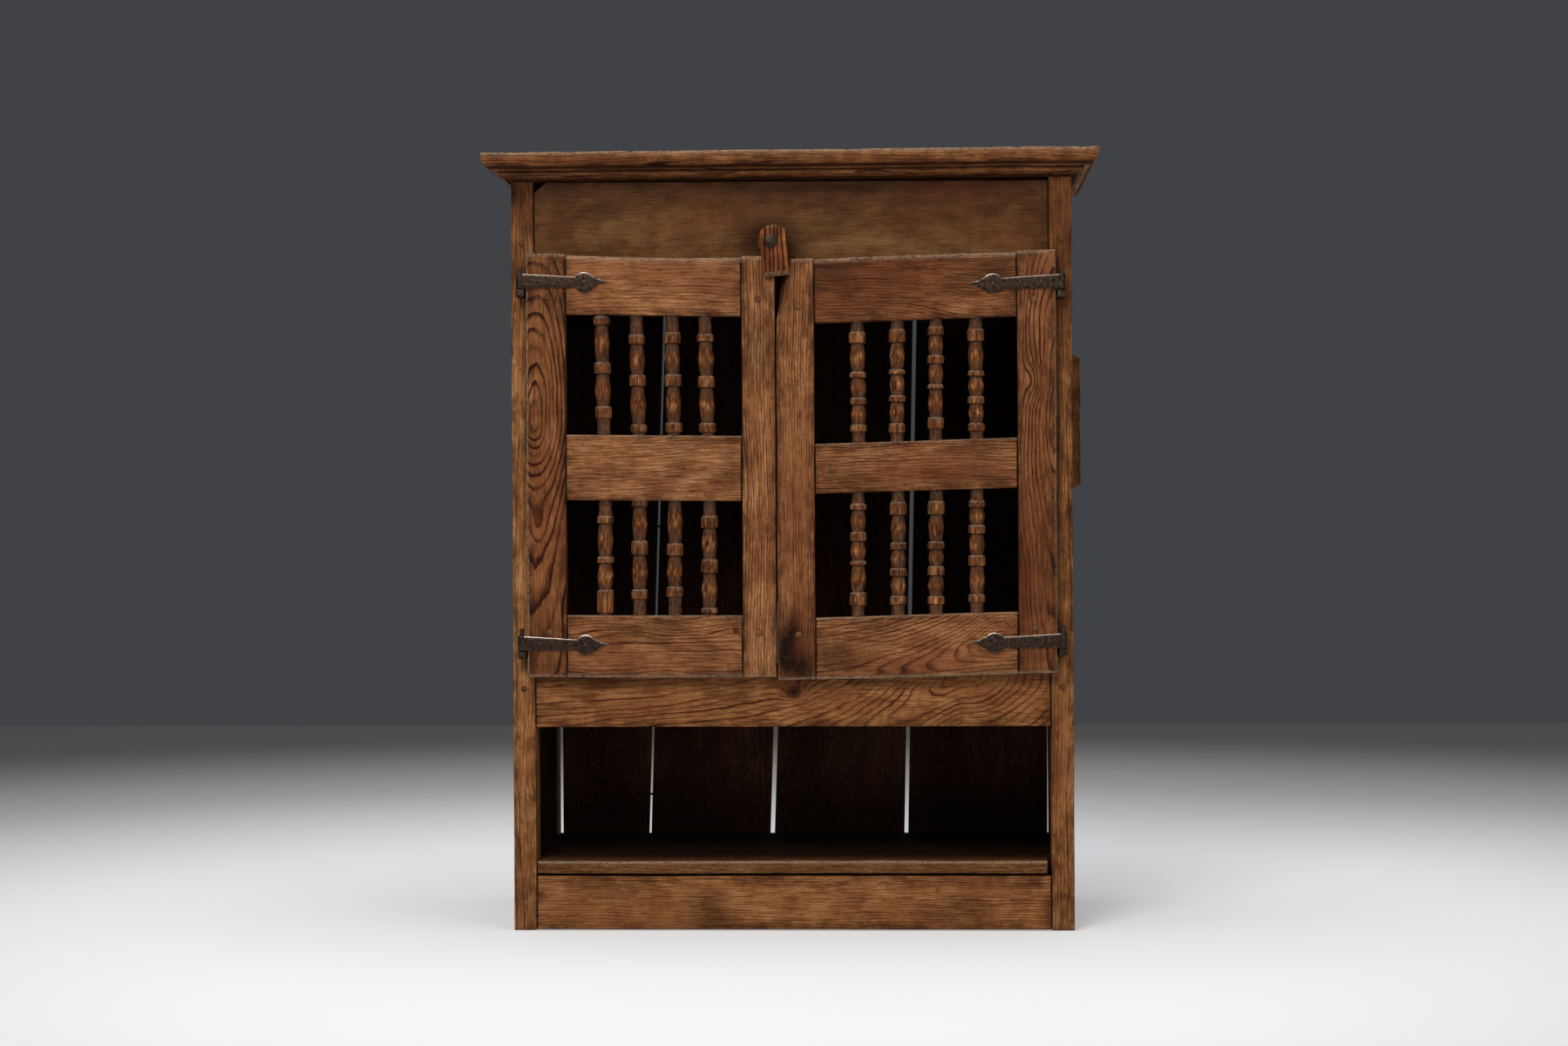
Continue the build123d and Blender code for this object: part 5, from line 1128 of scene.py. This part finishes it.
def build_door_spindles(word, door):
    for opening, low, high, shift in (("upper", door.levels[3], door.levels[4], 50),
                                      ("lower", door.levels[1], door.levels[2], 40)):
        rows = zip(SPINDLES[f"{word}_{opening}"], SPINDLE_TONES[f"{word}_{opening}"])
        for index, ((x_top, x_bottom, rings), (tone, red)) in enumerate(rows):
            build_spindle(f"{word}_spindle_{opening}_{index + 1}", f"door_{word}",
                          f"door_{word}_spindle_{opening}_{index + 1}", (x_top, x_bottom),
                          (door.at(low, x_bottom), door.at(high, x_top)), rings,
                          DOOR_SEEDS[word] + shift + index, tone, red)


# --- Pegs, nails -----------------------------------------------------------------------------------
FACINGS = {"-Y": (math.pi / 2, "X"), "+Y": (-math.pi / 2, "X"), "+X": (math.pi / 2, "Y"), "+Z": (0.0, "X")}
PEG_RADIUS, PEG_INSET, FRAME_PEG_X = 5.8, 26.0, 435.0
BACK_NAIL_LEVELS, NAIL_RADIUS, NAIL_INSET = (57.0, 339.0, 729.0, 1178.0), 4.0, 32
BACK_NAIL_ENDS = -424.5, 428.5      # outer edges of the back
TOP_NAIL_X, GRIP_NAIL_LEVELS = 440.0, (754.0, 894.0)
GAP_PINS = (-268.5, 180.0), (-253.1, 653.0)     # (x, z) of two pins that cross the leftmost gap of the back


def domed(radius, rise, place, facing, seed, base):
    """A low dome on a shank `base` long, spun from half its profile."""
    bm = turned(((0.0, rise), (radius * 0.5, rise * 0.93), (radius * 0.82, rise * 0.62),
                 (radius * 0.97, rise * 0.25), (radius, 0.0), (radius, -base), (0.0, -base)), 18)
    for vert in bm.verts:
        angle = math.atan2(vert.co.y, vert.co.x)
        vert.co *= 1 + 0.07 * noise.noise(Vector((math.cos(angle) + seed, math.sin(angle), seed * 0.7)))
    angle, axis = FACINGS[facing]
    bmesh.ops.transform(bm, matrix=Matrix.Translation(Vector(place) * MM) @ Matrix.Rotation(angle, 4, axis),
                        verts=bm.verts[:])
    return bm


def mark_plain(bm, axes, grain, look, seed, face, rim=None):
    """Grain for a small piece; what lies behind `rim` (mm, Y) is black with dirt."""
    store = layers(bm)
    for vert in bm.verts:
        write_marks(vert, store, axes, grain, look, seed, 9.0, face)
        if rim is not None and vert.co.y / MM > rim:
            vert[store[2]] = BLACK_JOINT
    return bm


def mark_iron(bm, wear):
    layer = bm.verts.layers.float.new("wear")
    for vert in bm.verts:
        vert[layer] = wear
    return bm


def pegs_from(parts, name, body, node, look, front):
    """Whittled pegs whose end grain shows; dirt fills the crack round them."""
    bm = mark_plain(join(parts), (Y, X, Z), Grain(pith=0, depth=20, year=1.6), look, 9, 0, front)
    piece_from(bm, name, body, [node], "peg_wood")


def build_door_pegs(word, door):
    parts = []
    for edge, rise in ((door.levels[1], -27.0), (door.levels[4], 27.0)):
        for shoulder, way in ((door.hinge_inner, door.side), (door.meeting_inner, -door.side)):
            place = (shoulder + way * PEG_INSET, DOOR_FRONT, door.at(edge, shoulder) + rise)
            parts.append(domed(PEG_RADIUS, 1.3, place, "-Y", len(parts) + 3, 6.0))
    pegs_from(parts, f"{word}_pegs", f"door_{word}", f"door_{word}_pegs", Look(tone=0.9, dirt_and_shade=0.1),
              DOOR_FRONT - 0.7)


def build_frame_pegs():
    parts = [domed(5.0, 0.9, (side * FRAME_PEG_X, FRONT, z), "-Y", z + side, 6.0)
             for side, _ in SIDES for z in (1112.0, 391.0, 56.0)]
    pegs_from(parts, "pegs_frame", "carcass", "frame_pegs", Look(tone=0.7, dirt_and_shade=0.25), FRONT - 0.5)


def build_nails():
    parts = []
    for z in BACK_NAIL_LEVELS:
        share = (z - BACK_FOOT) / (TOP_BOARD_BOTTOM - BACK_FOOT)
        edges = [BACK_NAIL_ENDS[0]]
        for foot, head, _ in BACK_GAPS:
            edges += [foot + (head - foot) * share] * 2
        edges.append(BACK_NAIL_ENDS[1])
        for left, right in zip(edges[::2], edges[1::2]):
            for x in (left + NAIL_INSET, right - NAIL_INSET):
                parts.append(domed(NAIL_RADIUS, 1.0, (x, BACK - 0.4, z), "+Y", x + z, 1.6))
    for index in range(TOP_BOARDS):
        middle = TOP_FRONT + (index + 0.5) * TOP_BOARD_WIDTH
        for side, _ in SIDES:
            for offset in (-30, 30):
                place = (side * TOP_NAIL_X, middle + offset, TOTAL_HEIGHT - 0.6)
                parts.append(domed(NAIL_RADIUS, 0.6, place, "+Z", middle + side, 1.6))
    for z in GRIP_NAIL_LEVELS:
        place = (HALF_WIDTH + GRIP_THICKNESS - 0.5, GRIP_MIDDLE_Y, z)
        parts.append(domed(3.5, 1.0, place, "+X", z, 1.6))
    bm = bmesh.new()
    turn = Matrix.Rotation(math.pi / 2, 4, "Y")
    for x, z in GAP_PINS:
        bmesh.ops.create_cone(bm, cap_ends=True, segments=12, radius1=2 * MM, radius2=2 * MM, depth=30 * MM,
                              matrix=Matrix.Translation(Vector((x, (BACK_FACE + BACK) / 2, z)) * MM) @ turn)
    parts.append(bm)
    piece_from(mark_iron(join(parts), 0.1), "nails_carcass", "carcass", ["carcass_nails"], "forged_iron")


# --- Strap hinges ----------------------------------------------------------------------------------
# Distances from the pin along a strap: its neck, the lobe with its nail, and the point at the end.
STRAP_START, STRAP_NECK, LOBE_AT, LOBE_END, STRAP_END = 4, 89.6, 103.0, 115.3, 139.0
LOBE_RADIUS, LOBE_DROP, STRAP_THICKNESS = 16.0, -3.0, 3.5
STRAP_ROWS = (0.0, 0.07, 0.2, 0.4, 0.6, 0.78, 0.92, 1.0)
STRAP_NAILS = ((31.0, -1.5, 3.2, 0.7), (62.0, -1.5, 3.2, 0.7), (LOBE_AT, LOBE_DROP, 3.9, 1.3))
PIN_RADIUS, EYE_HEIGHT = 3.5, 25


def strap_edges(along):
    """(upper, lower) edge of a strap, from its middle line, at a distance from the pin."""
    if along < STRAP_NECK:
        return 11.5 - 5.8 * along / STRAP_NECK, -11.5
    if along < LOBE_END:
        rise = math.sqrt(max(LOBE_RADIUS ** 2 - (along - LOBE_AT) ** 2, 0.0))
        upper, lower = (8.6, 8.5) if along < LOBE_AT else (0.0, 0.0)
        return LOBE_DROP + max(rise, upper), LOBE_DROP - max(rise, lower)
    share = max(0.0, (STRAP_END - along) / 23.7)
    half = 0.7 + 9.6 * share ** 1.75
    return LOBE_DROP + 1.5 * (1 - share) + half, LOBE_DROP + 1.5 * (1 - share) - half


def strap_stops():
    """Where a strap's mesh is cut: evenly along the arm and the point, and round the lobe."""
    stops = [STRAP_START + 84.0 * k / 20 for k in range(21)] + [89.7]
    stops += [LOBE_AT - 13.0 * math.cos(math.pi * k / 14) for k in range(1, 13)]
    stops += [LOBE_END + 23.7 * (k / 10) for k in range(11)]
    return sorted(set(round(stop, 3) for stop in stops))


def strap(door, middle):
    """One strap as a bmesh: a flat shape given its thickness, with filed edges and hammer marks."""
    sizes = bpy.context.scene.trastero_sizes
    stops = strap_stops()
    bm = bmesh.new()
    columns, rows = len(stops) - 1, len(STRAP_ROWS) - 1
    bmesh.ops.create_grid(bm, x_segments=columns, y_segments=rows, size=0.5)
    for vert in bm.verts:
        along = stops[round((vert.co.x + 0.5) * columns)]
        upper, lower = strap_edges(along)
        height = lower + (upper - lower) * STRAP_ROWS[round((vert.co.y + 0.5) * rows)]
        vert.co = Vector((along * MM, 0.0, height * MM))
    bm.normal_update()
    bmesh.ops.solidify(bm, geom=bm.faces[:], thickness=STRAP_THICKNESS * MM)
    levels = [vert.co.y for vert in bm.verts]
    low_y, high_y = min(levels), max(levels)
    layer = bm.verts.layers.float.new("wear")
    for vert in bm.verts:
        outer = abs(vert.co.y - low_y) < abs(vert.co.y - high_y)
        along, height = vert.co.x / MM, vert.co.z / MM
        upper, lower = strap_edges(along)
        depth = STRAP_FRONT * MM if outer else DOOR_FRONT * MM
        vert[layer] = 0.0
        if outer:
            depth += sizes.hammer * noise.noise(Vector((along / 9.0, height / 9.0, middle)))
            if min(upper - height, height - lower) < 0.6 or along > STRAP_END - 0.5:
                depth += sizes.strap_bevel
                # Both rims are rubbed bright, the upper one brightest: wear and a painted highlight along the
                # top edge.
                vert[layer] = 1.0 if upper - height < 0.6 else 0.6
        x = door.side * (PIN_X - door.strap_stretch * along) * MM
        vert.co = Vector((x, depth, (middle + height) * MM))
    return bm


def strap_eye(door, middle):
    """The eye that the strap's end is rolled into."""
    eye = bmesh.new()
    bmesh.ops.create_cone(eye, cap_ends=True, segments=28, radius1=EYE_RADIUS * MM, radius2=EYE_RADIUS * MM,
                          depth=EYE_HEIGHT * MM,
                          matrix=Matrix.Translation(Vector((door.side * PIN_X, PIN_Y, middle)) * MM))
    round_off(eye, [edge for edge in eye.edges if abs(edge.verts[0].co.z - edge.verts[1].co.z) < 1e-6],
              0.9 * MM)
    cut_along(eye, Z, 3 * MM)
    for vert in eye.verts:
        centre = Vector((door.side * PIN_X * MM, PIN_Y * MM, vert.co.z))
        vert.co += (vert.co - centre) * 0.07 * noise.noise(vert.co / 0.008)
    return mark_iron(eye, 0.05)


def build_straps(word, door):
    straps, nails = [], []
    for middle in door.straps:
        straps += [strap(door, middle), strap_eye(door, middle)]
        for along, height, radius, rise in STRAP_NAILS:
            place = (door.side * (PIN_X - door.strap_stretch * along), STRAP_FRONT, middle + height)
            nails.append(domed(radius, rise, place, "-Y", along + middle, 1.5))
    piece_from(join(straps), f"{word}_strap_hinges", f"door_{word}", [f"door_{word}_straps"], "forged_iron",
               crease=38)
    piece_from(mark_iron(join(nails), 0.2), f"{word}_strap_nails", f"door_{word}",
               [f"door_{word}_strap_nails"], "forged_iron")


# A pintle's block, how far it starts before its pin's axis, and how deep it sits in the post.
BLOCK_WIDTH, BLOCK_HEIGHT, BLOCK_START, BLOCK_SINK = 13.4, 13, 4, 12


def build_pintles():
    parts = []
    for door in DOORS.values():
        x = door.side * PIN_X
        for middle in door.straps:
            top = middle - 12.8
            block = bmesh.new()
            bmesh.ops.create_cube(block, size=1.0)
            for vert in block.verts:
                vert.co = Vector((x + vert.co.x * BLOCK_WIDTH,
                                  PIN_Y - BLOCK_START
                                  + (vert.co.y + 0.5) * (FRONT + BLOCK_SINK - PIN_Y + BLOCK_START),
                                  top - BLOCK_HEIGHT + (vert.co.z + 0.5) * BLOCK_HEIGHT)) * MM
            round_off(block, block.edges[:], 1.6 * MM)
            cut_along(block, X, 3 * MM)
            cut_along(block, Z, 3 * MM)
            for vert in block.verts:
                vert.co += noise.noise_vector(vert.co / 0.009) * 0.5 * MM
            low, high = top - 10, middle + 12.5 + 11
            pin = turned(((0.0, low), (PIN_RADIUS, low), (PIN_RADIUS, high - 1.6), (3.0, high - 0.6),
                          (1.8, high), (0.0, high + 0.2)), 18)
            bmesh.ops.translate(pin, vec=Vector((x, PIN_Y, 0)) * MM, verts=pin.verts[:])
            parts += [block, pin]
    piece_from(mark_iron(join(parts), 0.05), "pintles", "carcass", ["hinge_pintles"], "forged_iron")


# --- Turn button and grip --------------------------------------------------------------------------
BUTTON_WIDTH, BUTTON_LENGTH, BUTTON_DROP, BUTTON_THICKNESS = 46.0, 82.0, 56.5, 13.0
BUTTON_TOP = BUTTON_LENGTH - BUTTON_DROP
BUTTON_CORNER, BUTTON_LEAN, BUTTON_STEP, BUTTON_CHAMFER = 20, -5.5, 3.0, 8.0
BOSS_RADIUS, BOSS_LENGTH = 21.5, 26.0
GRIP_REAR, GRIP_FRONT, GRIP_BOTTOM, GRIP_TOP, GRIP_THICKNESS = -11.75, -45.75, 708, 940, 22
GRIP_MIDDLE_Y = (GRIP_FRONT + GRIP_REAR) / 2
GRIP_CHAMFER, GRIP_CHAMFER_LENGTH = 12.0, 14


def button_blank():
    """The button's rounded outline, with cuts enough for its wear, hanging from its nail at (0, 0)."""
    bm = bmesh.new()
    bmesh.ops.create_cube(bm, size=1.0)
    for vert in bm.verts:
        vert.co = Vector((vert.co.x * BUTTON_WIDTH, (vert.co.y + 0.5) * BUTTON_THICKNESS + BUTTON_FRONT,
                          (vert.co.z + 0.5) * BUTTON_LENGTH - BUTTON_DROP)) * MM
    top = max(vert.co.z for vert in bm.verts)
    round_off(bm, [edge for edge in bm.edges if all(abs(v.co.z - top) < 1e-7 for v in edge.verts)
                   and abs(edge.verts[0].co.x - edge.verts[1].co.x) < 1e-7], BUTTON_CORNER * MM, 10)
    depths = [vert.co.y for vert in bm.verts]
    round_off(bm, [edge for edge in bm.edges if any(all(abs(v.co.y - level) < 1e-7 for v in edge.verts)
                                                    for level in (min(depths), max(depths)))], 2.0 * MM)
    for normal, start, stop in ((Vector((1, 0, 0)), -21, 22), (Vector((0, 0, 1)), -54, 24)):
        place = start
        while place < stop:
            bmesh.ops.bisect_plane(bm, geom=bm.verts[:] + bm.edges[:] + bm.faces[:], dist=1e-6,
                                   plane_co=normal * place * MM, plane_no=normal)
            place += BUTTON_STEP
    return bm


def build_button():
    bm = button_blank()
    store = layers(bm)
    lean = Matrix.Rotation(math.radians(BUTTON_LEAN), 3, "Y")
    grain = Grain(pith=-64, depth=26, year=6.0, sway=8, lift=6, wave=0.8)
    look = Look(tone=0.8, bold=2.2)
    for vert in bm.verts:
        x, y, z = vert.co / MM
        above = z + BUTTON_DROP
        x *= 0.93 + 0.09 * (above / BUTTON_LENGTH)
        depth = (y - BUTTON_FRONT) / BUTTON_THICKNESS
        dust_and_highlight = 0.0
        if above < BUTTON_CHAMFER and depth < 0.5:
            y += (1 - above / BUTTON_CHAMFER) * 5.0 * (1 - depth)
            dust_and_highlight = 0.45
        rim = math.exp(-min(BUTTON_WIDTH / 2 - abs(x), BUTTON_TOP - z if z > 0 else 99) / 3.0)
        lump = noise.noise(Vector((x / 14, y / 14, z / 14)))
        y += (2 * abs(x) / BUTTON_WIDTH) ** 2 * (1 - depth) + 0.5 * lump
        swept = lean @ Vector((x + 4.0, 0.0, z))
        hit = max(0.0, noise.noise(Vector((x / 9, y / 9, z / 9))) - 0.1) * rim * 1.6
        vert.co = Vector((LATCH_X + swept.x * (1 - 0.02 * hit), y, LATCH_Z + swept.z - 0.6 * hit)) * MM
        write_marks(vert, store, (Z, X, Y), grain, look, 91, 4 - 3 * rim, BUTTON_FRONT, dust_and_highlight)
        rubbed = 0.5 * 0.9 if x > 17 else 0.0
        worn_top = 0.7 * math.exp(-(BUTTON_TOP - z) / 3.0) if z > 0 else 0.0
        vert[store[3]] = (0.6 + rubbed + 0.2 * worn_top, 0.0, max(dust_and_highlight, 0.55 * worn_top))
    boss = bmesh.new()
    bmesh.ops.create_cone(boss, cap_ends=True, segments=36, radius1=BOSS_RADIUS * MM,
                          radius2=BOSS_RADIUS * MM, depth=BOSS_LENGTH * MM,
                          matrix=Matrix.Translation(Vector((LATCH_X, BUTTON_REAR + 12.7, LATCH_Z)) * MM)
                          @ Matrix.Rotation(math.pi / 2, 4, "X"))
    mark_plain(boss, (Z, X, Y), Grain(pith=-70, depth=22, year=4.6), Look(tone=0.8, red=0.2, dirt_and_shade=0.3), 91,
               BUTTON_FRONT)
    piece_from(join([bm, boss]), "button_worn", "latch", ["turn_button"], "button_pine")
    head = domed(11.2, 2.8, (LATCH_X, BUTTON_FRONT - 0.3, LATCH_Z), "-Y", 4, 4.0)
    piece_from(mark_iron(head, 0.0), "button_nail", "carcass", ["latch_nail"], "forged_iron")


def build_grip():
    bm = board(rectangle(GRIP_FRONT, GRIP_REAR, GRIP_BOTTOM, GRIP_TOP), HALF_WIDTH,
               HALF_WIDTH + GRIP_THICKNESS, *SIDE_UPRIGHT, Grain(pith=-60, depth=30, year=3.2),
               Look(tone=0.72, dirt_and_shade=0.15), 97, face=HALF_WIDTH + GRIP_THICKNESS)
    middle, half = (GRIP_BOTTOM + GRIP_TOP) / 2, (GRIP_TOP - GRIP_BOTTOM) / 2
    for vert in bm.verts:
        cut = GRIP_CHAMFER * max(0.0, vert.co.x / MM - HALF_WIDTH) / GRIP_THICKNESS
        z = vert.co.z / MM
        reach = abs(z - middle)
        past = reach - half + GRIP_CHAMFER_LENGTH
        if past > 0:
            vert.co.z = (middle + math.copysign(reach - cut * past / GRIP_CHAMFER_LENGTH, z - middle)) * MM
    piece_from(bm, "grip_worn", "carcass", ["side_grip"], "carcass_pine")


# --- Stage -----------------------------------------------------------------------------------------
WALL, SKY, SKY_STRENGTH = "404245", "F8F5F0", 0.30
FLOOR_SIZE, FLOOR_MIDDLE = 9.0, (0.0, -4.4, 0.0)
# (name, place, target, size, power, colour), in metres and watts.
LAMPS = (("key", (-0.9, -3.4, 3.3), (0.0, 0.0, 0.7), 1.8, 100.0, "FFF9F1"),
         ("fill", (2.6, -3.6, 1.4), (0.0, 0.0, 0.6), 2.2, 26.0, "FFFAF4"),
         ("top", (0.0, -0.2, 3.4), (0.0, 0.0, 0.0), 1.6, 34.0, "FFFFFF"))
CAMERA_PLACE, CAMERA_TURN, LENS, SENSOR = (0.200, -4.907, 0.6577), (90.0, 0.30, 2.58), 67.0, 36.0


def add_object(name, data):
    made = bpy.data.objects.new(name, data)
    bpy.context.scene.collection.objects.link(made)
    return made


def build_floor():
    bm = bmesh.new()
    bmesh.ops.create_grid(bm, x_segments=8, y_segments=8, size=FLOOR_SIZE,
                          matrix=Matrix.Translation(FLOOR_MIDDLE))
    mesh = bpy.data.meshes.new("studio_floor")
    bm.to_mesh(mesh)
    bm.free()
    mesh.materials.append(painted_floor("matt floor paint"))
    floor = add_object("studio_floor", mesh)


def build_world():
    """Soft light from all round, behind a plain wall that only the camera sees."""
    world = bpy.data.worlds.new("studio")
    bpy.context.scene.world = world
    world.use_nodes = True
    tree = world.node_tree
    tree.nodes.clear()
    path = add_node(tree, "ShaderNodeLightPath").outputs
    seen = add_node(tree, "MAXIMUM", path["Is Camera Ray"], path["Is Transmission Ray"])
    light = add_node(tree, "ShaderNodeBackground", {"Color": linear(SKY), "Strength": SKY_STRENGTH})
    backdrop = add_node(tree, "ShaderNodeBackground", {"Color": linear(WALL), "Strength": 1.0})
    mixed = add_node(tree, "ShaderNodeMixShader", {0: seen, 1: light.outputs[0], 2: backdrop.outputs[0]})
    add_node(tree, "ShaderNodeOutputWorld", {0: mixed.outputs[0]})


def build_stage():
    build_floor()
    build_world()
    for name, place, target, size, power, tint in LAMPS:
        lamp = bpy.data.lights.new(name, "AREA")
        lamp.shape = "DISK"
        lamp.size = size
        lamp.energy = power
        lamp.color = linear(tint)[:3]
        holder = add_object(name, lamp)
        holder.location = place
        holder.rotation_euler = (Vector(target) - Vector(place)).to_track_quat("-Z", "Y").to_euler()
    camera = bpy.data.cameras.new("camera")
    camera.lens = LENS
    camera.sensor_width = SENSOR
    holder = add_object("camera", camera)
    holder.location = CAMERA_PLACE
    holder.rotation_euler = [math.radians(angle) for angle in CAMERA_TURN]
    bpy.context.scene.camera = holder
    bpy.context.scene.view_settings.view_transform = "Standard"


# --- Operators and panel ---------------------------------------------------------------------------
class TRASTERO_OT_frame(bpy.types.Operator):
    """Build the four posts and the rails between the front ones"""

    bl_idname = "trastero.frame"
    bl_label = "Posts and rails"

    def execute(self, context):
        build_posts()
        build_front_rails()
        return {"FINISHED"}


class TRASTERO_OT_boards(bpy.types.Operator):
    """Build the sides, back, floor board, shelves and bearers"""

    bl_idname = "trastero.boards"
    bl_label = "Sides, back and shelves"

    def execute(self, context):
        build_sides()
        build_back()
        build_shelves()
        return {"FINISHED"}


class TRASTERO_OT_cornice(bpy.types.Operator):
    """Build the three mouldings and the top boards"""

    bl_idname = "trastero.cornice"
    bl_label = "Cornice and top"

    def execute(self, context):
        build_cornice()
        build_top()
        return {"FINISHED"}


class TRASTERO_OT_fittings(bpy.types.Operator):
    """Build the side grip, the frame's pegs, the nails and the pintles"""

    bl_idname = "trastero.fittings"
    bl_label = "Grip, pegs, nails and pintles"

    def execute(self, context):
        build_grip()
        build_frame_pegs()
        build_nails()
        build_pintles()
        return {"FINISHED"}


class TRASTERO_OT_doors(bpy.types.Operator):
    """Build both doors with their spindles, pegs and strap hinges"""

    bl_idname = "trastero.doors"
    bl_label = "Doors"

    def execute(self, context):
        for word, door in DOORS.items():
            for build in (build_stiles, build_door_rails, build_door_spindles, build_door_pegs, build_straps):
                build(word, door)
        return {"FINISHED"}


class TRASTERO_OT_button(bpy.types.Operator):
    """Build the turn button and the nail it hangs on"""

    bl_idname = "trastero.button"
    bl_label = "Turn button"

    def execute(self, context):
        build_button()
        return {"FINISHED"}


class TRASTERO_OT_stage(bpy.types.Operator):
    """Add the floor, lamps, world and camera"""

    bl_idname = "trastero.stage"
    bl_label = "Stage"

    def execute(self, context):
        build_stage()
        return {"FINISHED"}


class TRASTERO_PT_panel(bpy.types.Panel):
    """Sizes, colours and the operators that build the cupboard"""

    bl_idname = "TRASTERO_PT_panel"
    bl_label = "Trastero cupboard"
    bl_space_type = "VIEW_3D"
    bl_region_type = "UI"
    bl_category = "Trastero"

    def draw(self, context):
        for group in (context.scene.trastero_sizes, context.scene.trastero_colours):
            for name in group.__annotations__:
                self.layout.prop(group, name)
        for operator in OPERATORS:
            self.layout.operator(operator.bl_idname)


OPERATORS = (TRASTERO_OT_frame, TRASTERO_OT_boards, TRASTERO_OT_cornice, TRASTERO_OT_fittings,
             TRASTERO_OT_doors, TRASTERO_OT_button, TRASTERO_OT_stage)
CLASSES = (TrasteroSizes, TrasteroColours) + OPERATORS + (TRASTERO_PT_panel,)


def register():
    for entry in CLASSES:
        bpy.utils.register_class(entry)
    bpy.types.Scene.trastero_sizes = bpy.props.PointerProperty(type=TrasteroSizes)
    bpy.types.Scene.trastero_colours = bpy.props.PointerProperty(type=TrasteroColours)


def unregister():
    del bpy.types.Scene.trastero_sizes
    del bpy.types.Scene.trastero_colours
    for entry in reversed(CLASSES):
        bpy.utils.unregister_class(entry)


def main():
    noise.seed_set(NOISE_SEED)
    register()
    make_materials()
    bpy.ops.trastero.frame()
    bpy.ops.trastero.boards()
    bpy.ops.trastero.cornice()
    bpy.ops.trastero.fittings()
    bpy.ops.trastero.doors()
    bpy.ops.trastero.button()
    bpy.ops.trastero.stage()


if __name__ == "__main__":
    main()
